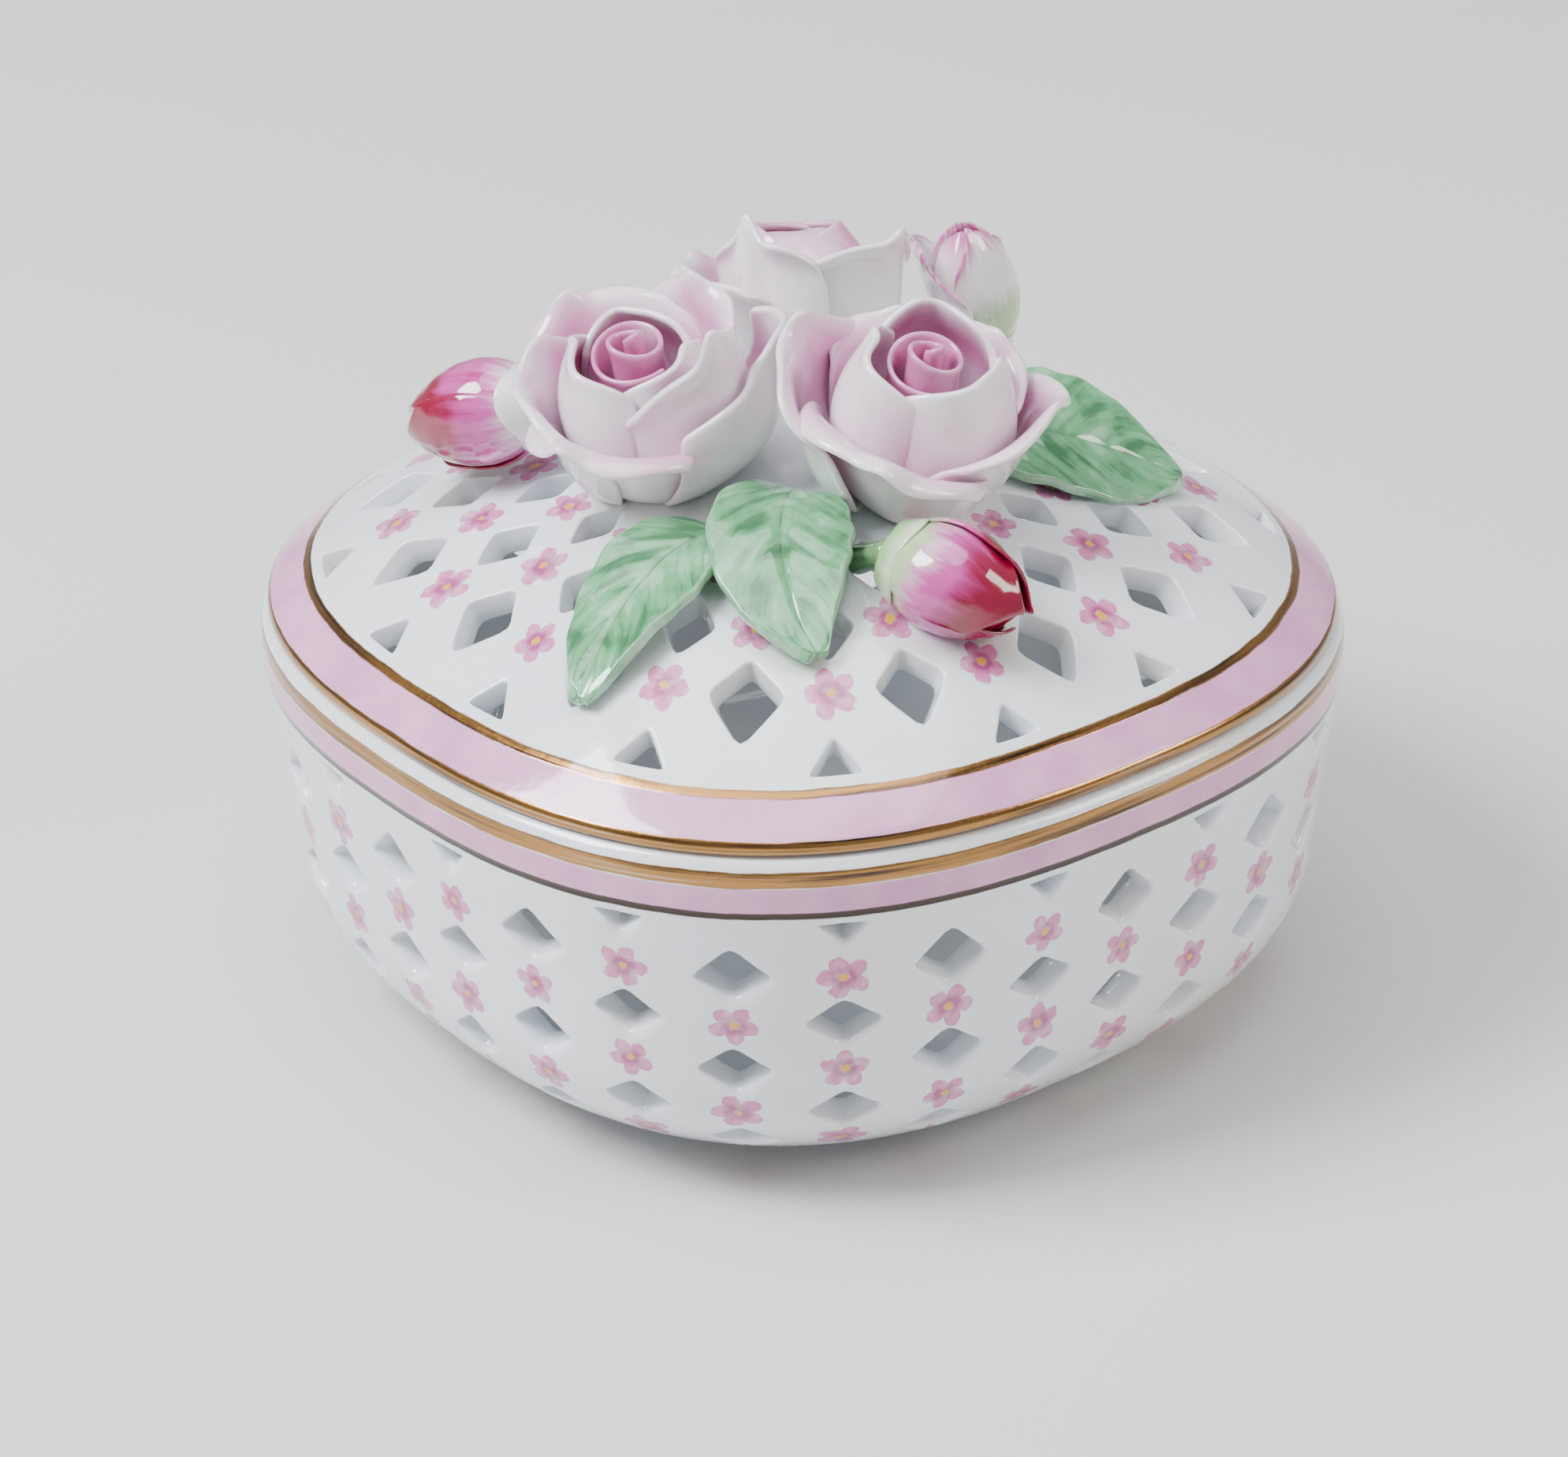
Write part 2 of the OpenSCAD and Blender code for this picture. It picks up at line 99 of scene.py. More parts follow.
class Skin:
    """Collects grids of points, with their UVs, and joins them into one object."""

    def __init__(self, *layers):
        self.layers = layers
        self.points = []
        self.faces = []
        self.uvs = {name: [] for name in layers}

    def grid(self, points, **uvs):
        """points is rows x columns x 3; each layer in uvs is rows x columns x 2."""
        rows, columns = points.shape[:2]
        start = len(self.points)
        self.points.extend(points.reshape(-1, 3))
        at = np.arange(rows * columns).reshape(rows, columns)
        quads = np.stack([at[:-1, :-1], at[:-1, 1:], at[1:, 1:], at[1:, :-1]], -1).reshape(-1, 4)
        self.faces.extend(quads + start)
        for name in self.layers:
            values = np.broadcast_to(uvs.get(name, (0.0, 0.0)), (rows, columns, 2)).reshape(-1, 2)
            self.uvs[name].extend(values[quads].reshape(-1, 2))

    def build(self, name, body, slot, material, replaces, smooth=0):
        mesh = bpy.data.meshes.new(name)
        metres = np.array(self.points) * MM
        mesh.from_pydata(metres.tolist(), [], [f.tolist() for f in self.faces])
        for layer in self.layers:
            values = np.array(self.uvs[layer], np.float32)
            mesh.uv_layers.new(name=layer).data.foreach_set("uv", values.ravel())
        work = bmesh.new()
        work.from_mesh(mesh)
        bmesh.ops.remove_doubles(work, verts=work.verts, dist=WELD)
        bmesh.ops.dissolve_degenerate(work, edges=work.edges, dist=SLIVER)
        bmesh.ops.recalc_face_normals(work, faces=work.faces)
        work.to_mesh(mesh)
        work.free()
        mesh.shade_smooth()
        piece = add_object(name, mesh)
        mesh.materials.append(material)
        if smooth:
            subdivision = piece.modifiers.new("smooth", "SUBSURF")
            subdivision.levels = smooth
            subdivision.render_levels = smooth
        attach(piece, body)
        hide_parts(*replaces)


def add_object(name, data):
    thing = bpy.data.objects.new(name, data)
    bpy.context.scene.collection.objects.link(thing)
    return thing


def pairs(first, second):
    """Two arrays, broadcast against each other, as one array of pairs."""
    return np.stack(np.broadcast_arrays(first, second), -1).astype(float)


def round_points(radius, angle, height):
    """Points at a radius and an angle about +Z, at a height."""
    parts = (radius * np.cos(angle), radius * np.sin(angle), height)
    return np.stack(np.broadcast_arrays(*parts), -1)


def rise(t, start, length):
    """Goes from 0 at start to 1 a length further on, and stays there."""
    return np.clip((t - start) / length, 0, 1)


def filleted(corners, radius, steps=5):
    """A line through corners, each inner corner rounded within radius of itself."""
    corners = np.array(corners, float)
    line = [corners[0]]
    for before, corner, after in zip(corners, corners[1:], corners[2:]):
        to_before, to_after = before - corner, after - corner
        reach = min(radius, np.linalg.norm(to_before) * 0.45, np.linalg.norm(to_after) * 0.45)
        start = corner + to_before * reach / np.linalg.norm(to_before)
        end = corner + to_after * reach / np.linalg.norm(to_after)
        for t in np.linspace(0, 1, steps):
            line.append((1 - t) ** 2 * start + 2 * t * (1 - t) * corner + t * t * end)
    return np.array(line + [corners[-1]])


# ---- Plan outline and profiles, as in the CAD model ----


def outline(angle):
    c, s = np.abs(np.cos(angle)), np.abs(np.sin(angle))
    return (c**SQUARENESS + s**SQUARENESS) ** (-1 / SQUARENESS)


def ring_point(w, z, column):
    angle = np.radians(CORNER_ANGLE + column * 360 / COLUMNS)
    return round_points(w * outline(angle), angle, z)


DRAFT = math.radians(WALL_DRAFT)
BEND_Z = BEND_RADIUS + FOOT_RECESS + BOTTOM_LIFT
WALL_LENGTH = (BAND_HEIGHT - BEND_Z + BEND_RADIUS * math.sin(DRAFT)) / math.cos(DRAFT)
BEND_W = BAND_HALF_WIDTH - WALL_LENGTH * math.sin(DRAFT) - BEND_RADIUS * math.cos(DRAFT)


def bowl_profile(distance, depth):
    """Half-width and height at a distance below the band's line, depth inside the wall."""
    on_wall = np.minimum(distance, WALL_LENGTH)
    turn = DRAFT + np.maximum(distance - WALL_LENGTH, 0) / BEND_RADIUS
    radius = BEND_RADIUS - depth
    w = BEND_W + radius * np.cos(turn) + (WALL_LENGTH - on_wall) * math.sin(DRAFT)
    z = BEND_Z - radius * np.sin(turn) + (WALL_LENGTH - on_wall) * math.cos(DRAFT)
    return w, z


def bowl_distance(row):
    return np.where(row < 1, row * BOWL_FIRST_ROW, BOWL_FIRST_ROW + (row - 1) * BOWL_ROW_PITCH)


def bowl_at(column, row, depth):
    return ring_point(*bowl_profile(bowl_distance(row), depth), column)


def dome_z(w, depth=0):
    return DOME_TOP - DOME_RADIUS + np.sqrt((DOME_RADIUS - depth) ** 2 - w * w)


def dome_point(w, depth):
    share = (DOME_RADIUS - depth) / DOME_RADIUS
    return w * share, dome_z(w * share, depth)


def lid_distance(row):
    return np.where(row < 1, row * LID_FIRST_ROW, LID_FIRST_ROW + (row - 1) * LID_ROW_PITCH)


def lid_at(column, row, depth):
    return ring_point(*dome_point(LID_BAND_INNER - lid_distance(row), depth), column)


# ---- Pierced cells ----
# A cell is the diamond between four crossings, in [columns, rows] from its centre.
# Its border has SIDE_STEPS points along each side, so that it meets its neighbours.

SIDE_STEPS = 6
BORDER = 4 * SIDE_STEPS
FULL_CELL = [(1, 0), (0, 1), (-1, 0), (0, -1)]
TOP_CELL = [(1, 0), (0, 1), (-1, 0)]
BOTTOM_CELL = [(-1, 0), (0, -1), (1, 0)]
HOLE_TAPER = 0.84  # of a hole's inner end, against its outer end
EDGE_DEPTH = 0.7  # of a hole's rounded edge, against its width
# How unevenly the holes are cut by hand: of a cell, and of a hole's own size
HAND_SHIFT = (0.012, 0.018)
HAND_HALF_SHIFT = 0.02
HAND_SIZE = 0.025
# The profile layer's level is millimetres down the shell from the band's line. These are
# out of the painted bands' reach: inner faces have INNER_LEVEL added.
PLAIN_LEVEL = 60.0
INNER_LEVEL = 100
LIP_LEVEL = -9
NO_FLOWER = (99.0, 99.0)


def cell_border(corners):
    points = []
    for start, end in zip(corners, corners[1:] + corners[:1]):
        steps = SIDE_STEPS if abs(start[0] - end[0]) == 1 else 2 * SIDE_STEPS
        share = np.arange(steps)[:, None] / steps
        points.append(np.array(start) * (1 - share) + np.array(end) * share)
    return np.concatenate(points)


def hole_outline(border, centre, size):
    """The cell's border shrunk about centre, with its corners softened."""
    border = border / 2 + (np.roll(border, 1, 0) + np.roll(border, -1, 0)) / 4
    return centre + size * (border - centre)


class Lattice:
    """How one shell is pierced. at gives the point at a column, row and depth, and
    distance a row's millimetres from the band. size is a hole against its cell, across
    and down. edge is the width of the rounding at a hole's upper left and lower right.
    half is the size of the half cells at the top, and how far down their middle is."""

    def __init__(self, at, distance, wall, size, edge, half, flower_rows):
        self.at = at
        self.distance = distance
        self.wall = wall
        self.size = np.array(size)
        self.edge = edge
        self.half = half
        self.flower_rows = flower_rows

    def pitch(self, row):
        """Millimetres per column at a row."""
        ends = self.at(np.array([4.0, 5.0]), np.array([row, row], float), 0)
        return np.linalg.norm(ends[1] - ends[0])

    def rings(self, border, centre, size, row):
        """Offsets and depths of the rings from the border outside, through the hole, to
        the border inside."""
        hole = hole_outline(border, centre, size)
        taper = centre + (hole - centre) * HOLE_TAPER
        millimetres = np.array([self.pitch(row), float(self.distance(2.0) - self.distance(1.0))])
        reach = np.linalg.norm((hole - centre) * millimetres, axis=1, keepdims=True)
        low_right = (hole - centre) @ np.array([0.6, 0.8])
        soft = np.clip(low_right / np.abs(low_right).max(), 0, 1)[:, None]
        edge = self.edge[0] + (self.edge[1] - self.edge[0]) * soft
        offsets, depths = [], []

        def put(points, depth):
            offsets.append(points)
            depths.append(np.broadcast_to(depth, (BORDER, 1))[:, 0])

        lip = centre + (hole - centre) * (1 + edge / reach)
        for share in (0, 0.25, 0.5, 0.75, 0.92):
            put(border * (1 - share) + lip * share, 0)
        for turn in np.radians((0, 18, 36, 54, 72, 90)):
            grow = 1 + edge * (1 - np.sin(turn)) / reach
            put(centre + (hole - centre) * grow, edge * (1 - np.cos(turn)) * EDGE_DEPTH)
        inner = self.edge[0]
        for share in (0.5, 1):
            depth = edge * EDGE_DEPTH * (1 - share) + (self.wall - inner) * share
            put(hole * (1 - share) + taper * share, depth)
        for turn in np.radians((60, 30, 0)):
            grow = 1 + inner * (1 - np.sin(turn)) / reach
            put(centre + (taper - centre) * grow, self.wall - inner * (1 - np.cos(turn)))
        last = offsets[-1]
        for share in (0.35, 0.7, 1):
            put(last * (1 - share) + border * share, self.wall)
        return np.array(offsets), np.array(depths)

    def plain_rings(self, border, centre, depth):
        shares = np.array([1, 0.75, 0.5, 0.25, 0.001])[:, None, None]
        return centre + (border - centre) * shares, np.full((5, BORDER), float(depth))

    def cell(self, skin, column, row, corners, offsets, depths):
        """Adds a cell's rings, cut into one sector for each crossing on its border."""
        half = SIDE_STEPS // 2
        at_corners = range(0, len(corners) * SIDE_STEPS, SIDE_STEPS)
        sectors = [(i - half, i + half, c) for i, c in zip(at_corners, corners)]
        if len(corners) == 3:
            sectors.append((at_corners[-1] + half, BORDER - half, None))
        for first, last, corner in sectors:
            index = np.arange(first, last + 1) % BORDER
            part = offsets[:, index]
            columns, rows = column + part[..., 0], row + part[..., 1]
            points = self.at(columns, rows, depths[:, index])
            inside = depths[:, index] > self.wall / 2
            uvs = {"profile": pairs(columns, self.distance(rows) + INNER_LEVEL * inside)}
            if corner is None:
                uvs["flower"] = NO_FLOWER
            else:
                crossing = (column + corner[0], row + corner[1])
                uvs.update(self.flower(crossing, columns, rows, ~inside))
            skin.grid(points, **uvs)

    def flower(self, crossing, columns, rows, outside):
        """UVs of the flower on a crossing: millimetres from its middle, then its seed and
        whether it is painted there."""
        if not 1 <= crossing[1] <= self.flower_rows:
            return {"flower": NO_FLOWER, "seed": (0.0, 0.0)}
        across = (columns - crossing[0]) * self.pitch(crossing[1])
        down = self.distance(rows) - self.distance(float(crossing[1]))
        seed = (crossing[0] % COLUMNS * 7.31 + crossing[1] * 3.77) % 1
        return {"flower": pairs(across, down), "seed": pairs(seed, outside)}

    def add_to(self, skin, rows):
        for row in range(1, rows):
            for column in range((row + 1) % 2, COLUMNS, 2):
                shift = rng.normal(0, 1, 2) * HAND_SHIFT
                size = self.size * (1 + rng.normal(0, HAND_SIZE, 2))
                border = cell_border(FULL_CELL)
                self.cell(skin, column, row, FULL_CELL, *self.rings(border, shift, size, row))
        for column in range(1, COLUMNS, 2):
            border = cell_border(TOP_CELL)
            centre = np.array([rng.normal(0, HAND_HALF_SHIFT), self.half[2]])
            size = self.size * self.half[:2]
            self.cell(skin, column, 0, TOP_CELL, *self.rings(border, centre, size, 0.5))
        for column in range((rows + 1) % 2, COLUMNS, 2):
            border = cell_border(BOTTOM_CELL)
            for depth in (0, self.wall):
                rings = self.plain_rings(border, np.array([0, -0.3]), depth)
                self.cell(skin, column, rows, BOTTOM_CELL, *rings)


BOWL_LATTICE = Lattice(
    bowl_at, bowl_distance, WALL, size=(0.37, 0.5), edge=(0.35, 1.3),
    half=(0.62, 0.66, 0.24), flower_rows=BOWL_ROWS)
LID_LATTICE = Lattice(
    lid_at, lid_distance, LID_WALL, size=(0.46, 0.53), edge=(0.3, 0.5),
    half=(0.62, 0.72, 0.25), flower_rows=LID_ROWS - 1)
FINE_COLUMNS = np.arange(0, COLUMNS * SIDE_STEPS + 1) / SIDE_STEPS


def lathe(skin, profile, levels):
    """A closed band round the box: profile holds [w, z], levels its place on the paint."""
    profile = np.array(profile, float)
    points = ring_point(profile[:, :1], profile[:, 1:], FINE_COLUMNS[None, :])
    skin.grid(points, profile=pairs(FINE_COLUMNS[None, :], np.array(levels)[:, None]),
              flower=NO_FLOWER)


SHELL_LAYERS = ("profile", "flower", "seed")


def make_bowl(material):
    skin = Skin(*SHELL_LAYERS)
    BOWL_LATTICE.add_to(skin, BOWL_ROWS)
    rim_inner = HALF_WIDTH - RIM_WIDTH
    # From the wall's top outside, over the rim, to the wall's top inside
    rim = filleted([
        bowl_profile(0, 0),
        [BAND_HALF_WIDTH + 0.15, BAND_HEIGHT + 0.5],
        [BAND_HALF_WIDTH + 0.2, RIM_HEIGHT - 3.2],
        [BAND_HALF_WIDTH + 0.05, RIM_HEIGHT - 1.2],
        [HALF_WIDTH - 0.2, RIM_HEIGHT],
        [rim_inner, RIM_HEIGHT],
        [rim_inner, RIM_HEIGHT - 4],
        bowl_profile(0, WALL)], 0.9)
    outside = np.arange(len(rim)) < np.argmax(rim[:, 0] < rim_inner + 0.2)
    lathe(skin, rim, np.where(outside, BAND_HEIGHT - rim[:, 1], INNER_LEVEL))
    last = float(bowl_distance(BOWL_ROWS))
    foot_turn = math.acos((FOOT_HALF_WIDTH + 0.4 - BEND_W) / BEND_RADIUS)
    under = np.linspace(last, WALL_LENGTH + (foot_turn - DRAFT) * BEND_RADIUS, 7)
    w, z = bowl_profile(under, 0)
    for column in range(BOWL_ROWS % 2, COLUMNS, 2):
        columns = column + np.linspace(-1, 1, 2 * SIDE_STEPS + 1)[None, :]
        rows = BOWL_ROWS + (under[:, None] - last) / BOWL_ROW_PITCH
        skin.grid(
            ring_point(w[:, None], z[:, None], columns), profile=pairs(columns, under[:, None]),
            **BOWL_LATTICE.flower((column, BOWL_ROWS), columns, rows, 1.0))
    # From the wall's bottom, round the foot ring, to the middle of the recess
    foot = filleted([
        [w[-1], z[-1]],
        [FOOT_HALF_WIDTH, 0.6],
        [FOOT_HALF_WIDTH - 0.5, 0],
        [FOOT_HALF_WIDTH - FOOT_FACE, 0],
        [FOOT_HALF_WIDTH - FOOT_FACE - 0.6, FOOT_RECESS],
        [FLAT_RADIUS, FOOT_RECESS],
        [POLE, FOOT_RECESS]], 0.5)
    lathe(skin, foot, np.full(len(foot), PLAIN_LEVEL))
    down = np.linspace(last, WALL_LENGTH + (math.pi / 2 - DRAFT) * BEND_RADIUS, 9)
    w, z = bowl_profile(down, WALL)
    floor = np.concatenate([np.stack([w, z], 1), [[FLAT_RADIUS, z[-1]], [POLE, z[-1]]]])
    lathe(skin, floor, np.full(len(floor), PLAIN_LEVEL + INNER_LEVEL))
    skin.build("bowl", "base", "porcelain", material, ["base_bowl"])


def make_lid(material):
    skin = Skin(*SHELL_LAYERS)
    LID_LATTICE.add_to(skin, LID_ROWS)
    under = RIM_HEIGHT + SEAT_GAP
    flange_outer = HALF_WIDTH - RIM_WIDTH - FLANGE_GAP
    flange_inner = flange_outer - FLANGE_THICKNESS
    flange_low = RIM_HEIGHT - FLANGE_DEPTH
    band = [dome_point(w, 0) for w in np.linspace(LID_BAND_INNER, HALF_WIDTH - 1.2, 6)]
    # Round the lid's edge, along the seat, round the flange, to the dome inside
    lip = filleted([
        band[-1],
        [HALF_WIDTH, float(dome_z(HALF_WIDTH)) - 0.05],
        [HALF_WIDTH, under],
        [flange_outer, under],
        [flange_outer, flange_low],
        [flange_inner, flange_low],
        [flange_inner, under + 1.2],
        dome_point(LID_BAND_INNER, LID_WALL)], 0.75)
    lathe(skin, band, [LID_BAND_INNER - p[0] for p in band])
    steps = np.linalg.norm(np.diff(lip, axis=0), axis=1)
    along = LID_BAND_INNER - band[-1][0] - np.concatenate([[0], np.cumsum(steps)])
    lathe(skin, lip, np.where(along > LIP_LEVEL, along, INNER_LEVEL))
    inner_w = LID_BAND_INNER - float(lid_distance(LID_ROWS))
    for depth, level in ((0, PLAIN_LEVEL), (LID_WALL, PLAIN_LEVEL + INNER_LEVEL)):
        cap = np.array([dome_point(w, depth) for w in np.linspace(inner_w, POLE, 8)])
        lathe(skin, cap, np.full(len(cap), level))
    skin.build("lid", "lid", "porcelain", material, ["lid_shell"])


# ---- Thin sheets: petals and leaves ----

SHEET_LAYERS = ("sheet", "side")


def add_sheet(skin, middle, thickness, st):
    """A closed sheet about a grid of points. st is [s, t] at each point, and side runs
    from 0 on the face along the normals to 1 on the other."""
    du = np.gradient(middle, axis=1)
    dv = np.gradient(middle, axis=0)
    normal = np.cross(du, dv)
    normal /= np.maximum(np.linalg.norm(normal, axis=2, keepdims=True), 1e-9)
    half = np.broadcast_to(thickness, middle.shape[:2])[..., None] / 2
    faces = (middle + normal * half, middle - normal * half)
    for side in (0, 1):
        skin.grid(faces[side], sheet=st, side=(float(side), 0.0))
    edges = [np.s_[0, :], np.s_[-1, :], np.s_[:, 0], np.s_[:, -1]]
    for edge in edges:
        rim = np.stack([faces[0][edge], faces[1][edge]])
        side = pairs(np.array([0.0, 1.0])[:, None], np.zeros(rim.shape[1])[None, :])
        skin.grid(rim, sheet=np.stack([st[edge]] * 2), side=side)


def turned(points, place):
    """Points of a rose that stands at the origin, moved to its place on the lid."""
    base, tilt, way = place[:3]
    about_z = Matrix.Rotation(math.radians(way), 3, "Z")
    lean = about_z @ Matrix.Rotation(math.radians(tilt), 3, "Y") @ about_z.inverted()
    return points @ np.array(lean).T + np.array(base)


# Each place: base point, tilt from upright, the way it tilts, and how far the base is
# pressed into the lid
ROSE_PLACES = {
    "left": ((-16.5, 3.6, 66.4), 16, 195, 1.2),
    "right": ((1.4, -18.1, 66.2), 15, 262, 1.2),
    "back": ((8.8, 10.2, 68), 18, 56, 2.2)}
# Each petal: azimuth, length, half-width, lean half way up, lean at the tip, then the
# length of its point, the place of the point from side to side, and its slope
CUP_PLACES = {
    "left": (
        (168, 19, 9, -4, -40, 0.03, -0.4, -0.04), (288, 17, 8.6, -6, -42, 0.04, 0.3, 0),
        (48, 18, 9, -7, -44, 0.02, 0, 0)),
    "right": (
        (158, 20.4, 9.8, -3, -42, 0.02, -0.3, -0.04), (276, 20.4, 9.8, -3, -42, 0.04, 0.6, 0.04),
        (38, 20.6, 9.8, -5, -36, 0.05, 0.4, 0)),
    "back": (
        (236, 21, 10.4, -9, -110, 0.03, 0, 0), (350, 19, 9.8, -5, -74, 0.04, 0.4, 0),
        (112, 19.2, 10, -5, -78, 0.03, 0, 0))}
OUTER_PLACES = {
    "left": (
        (212, 19, 11.4, -6, 80, 0.09, -0.3, -0.1), (260, 20.5, 10, -6, -14, 0.12, 0.55, 0.42),
        (312, 22, 13.4, 40, -40, 0.04, -0.3, 0.03), (14, 20, 9, -4, 24, 0.05, 0.2, 0),
        (72, 19.5, 11, 0, 36, 0.06, 0.3, 0), (150, 19, 12.2, -2, 20, 0.09, -0.6, 0)),
    "right": (
        (212, 19.5, 13, -8, 80, 0.1, 0.1, -0.14), (306, 19, 12.5, 2, 32, 0.05, 0.1, 0),
        (12, 18, 9.5, -4, 30, 0.05, 0, 0), (66, 18, 9.5, -4, 30, 0.05, 0, 0),
        (136, 21, 12.8, 14, 16, 0.08, -0.5, -0.04)),
    "back": (
        (176, 17.5, 10.5, 8, 50, 0.08, 0.1, 0), (206, 19.5, 8.5, -2, 0, 0.18, -0.1, 0),
        (268, 18, 11, -5, 14, 0.1, 0.6, 0.1), (345, 17, 9.5, 0, 26, 0.06, 0, 0),
        (50, 16.5, 10, 0, 30, 0.05, 0, 0), (112, 17, 10.5, 4, 36, 0.06, 0, 0))}
# Radius and height of the root, lean there, how far one side lies outside the other,
# hoop radius against distance from the axis, and how far the lip curls out
CUP_PETAL = {"root": (4.4, 2.6), "root_lean": 88, "spiral": 0.9, "wrap": 1.02, "curl": 30}
OUTER_PETAL = {"root": (4.4, 1.1), "root_lean": 104, "spiral": 1.7, "wrap": 1.1, "curl": 44}
# Shares of a petal: of its half-width the width of its point, and its width at the root;
# of its length how far its corners are cut back, where it is widest, and its lip
PETAL_POINT_WIDTH = 0.17
PETAL_ROOT_WIDTH = 0.36
PETAL_ROUNDING = 0.2
PETAL_WIDEST = 0.6
PETAL_LIP_START = 0.8
PETAL_LIP_LENGTH = 0.2
HEART_HEIGHTS = {"left": 19.2, "right": 20.4, "back": 14.5}
HEART_FOOT = 4
HEART_TURNS = 2.3
HEART_RADIUS = 5.0
RECEPTACLE_RADIUS = 4.8
PETAL_THICKNESS = 1.0


class Petal:
    """A petal on a rose's axis. Leans are from upright, outwards."""

    def __init__(self, way, seed, root, root_lean, spiral, wrap, curl):
        azimuth, self.length, self.half_width, half, tip, *self.point = way
        self.azimuth = math.radians(azimuth)
        self.root = root
        self.leans = (root_lean, half, tip)
        self.spiral = spiral
        self.wrap = wrap
        self.curl = curl
        self.seed = seed

    def surface(self, across=27, along=25):
        """Grid of points and their [s, t]: s runs from side to side, t from the root."""
        s = np.linspace(-1, 1, across)[None, :]
        t = np.linspace(0, 1, along)[:, None]
        size, where, slope = self.point
        peak = np.exp(-(((s - where) / PETAL_POINT_WIDTH) ** 2))
        reach = 1 - PETAL_ROUNDING * np.abs(s) ** 3 + size * peak + slope * s
        ruffle = np.sin(s * 5.5 + self.seed * 9)
        root, half, tip = self.leans
        lean = root * (1 - t) ** 3 + 3 * half * t * (1 - t) + tip * t**3
        lip = rise(t, PETAL_LIP_START, PETAL_LIP_LENGTH)
        curl = self.curl * (1 - 0.8 * peak + 0.25 * ruffle) * lip**1.5
        lean = np.radians(lean + curl)
        step = self.length * reach / (along - 1)
        out = self.root[0] + np.cumsum(np.sin(lean) * step, 0) - np.sin(lean[:1]) * step
        up = self.root[1] + np.cumsum(np.cos(lean) * step, 0) - np.cos(lean[:1]) * step
        swell = np.sin(np.minimum(t / PETAL_WIDEST, 1) * math.pi / 2)
        width = self.half_width * (PETAL_ROOT_WIDTH + (1 - PETAL_ROOT_WIDTH) * swell)
        width = width * (1 - 0.1 * rise(t, 0.7, 0.3) ** 2)
        hoop = np.maximum(out, self.root[0]) * self.wrap
        turn = width * s / hoop
        out = out - hoop * (1 - np.cos(turn)) + self.spiral * s
        out = out + (0.3 * ruffle + 0.5 * s**4) * t**3
        side = hoop * np.sin(turn)
        c, n = math.cos(self.azimuth), math.sin(self.azimuth)
        points = np.stack([out * c - side * n, out * n + side * c, up + 0 * s], -1)
        return points, pairs(s, t)

    def build(self, name, place, node, material):
        points, st = self.surface()
        skin = Skin(*SHEET_LAYERS)
        thickness = PETAL_THICKNESS * (1.2 - 1.1 * st[..., 1] + 0.85 * st[..., 1] ** 3)
        add_sheet(skin, turned(points, place), thickness, st)
        skin.build(name, "lid", "petal", material, [node], smooth=1)


def make_heart(rose, place, material):
    """One strip of clay, rolled round itself into a bud, on the rose's receptacle."""
    across, along = 110, 18
    first = CUP_PLACES[rose][0][0]
    share = np.linspace(0, 1, across)[None, :]
    t = np.linspace(0, 1, along)[:, None]
    angle = share * HEART_TURNS * 2 * math.pi + math.radians(first)
    radius = 0.55 + share * (HEART_RADIUS - 1.0)
    belly = 1 + 0.12 * np.sin(math.pi * t) * share - 0.1 * t**2 * (1 - share)
    flare = 0.75 * rise(t, 0.82, 0.18) ** 2 * share
    radius = radius * belly + flare
    lip = 0.5 * np.sin(angle * 1.4 + 1) - 2.6 * share**1.6
    height = HEART_FOOT + (HEART_HEIGHTS[rose] + lip - HEART_FOOT) * t
    points = round_points(radius, angle, height)
    skin = Skin(*SHEET_LAYERS)
    add_sheet(skin, turned(points, place), 0.85 - 0.2 * t + 0 * share, pairs(share * 0, t))
    press = place[3]
    base = filleted([
        [POLE, -press], [RECEPTACLE_RADIUS, -press], [RECEPTACLE_RADIUS, 3],
        [HEART_RADIUS - 0.2, 6.5], [POLE, 7]], 1)
    around = np.linspace(0, 2 * math.pi, 49)[None, :]
    ring = round_points(base[:, :1], around, base[:, 1:])
    skin.grid(turned(ring, place), sheet=(0.0, 0.1), side=(0.0, 0.0))
    name = f"rose_{rose}_rolled_heart"
    skin.build(name, "lid", "petal", material, [f"rose_{rose}_heart"], smooth=1)


def make_rose(rose, material, heart_material):
    place = ROSE_PLACES[rose]
    make_heart(rose, place, heart_material)
    for i, way in enumerate(CUP_PLACES[rose]):
        node = f"rose_{rose}_cup_petal_{i + 1}"
        pink_outside = rose == "back"
        petal = Petal(way, i * 0.37, **CUP_PETAL)
        petal.build(node + "_curled", place, node, heart_material if pink_outside else material)
    for i, way in enumerate(OUTER_PLACES[rose]):
        node = f"rose_{rose}_outer_petal_{i + 1}"
        petal = Petal(way, i * 0.61, **OUTER_PETAL)
        petal.build(node + "_curled", place, node, material)


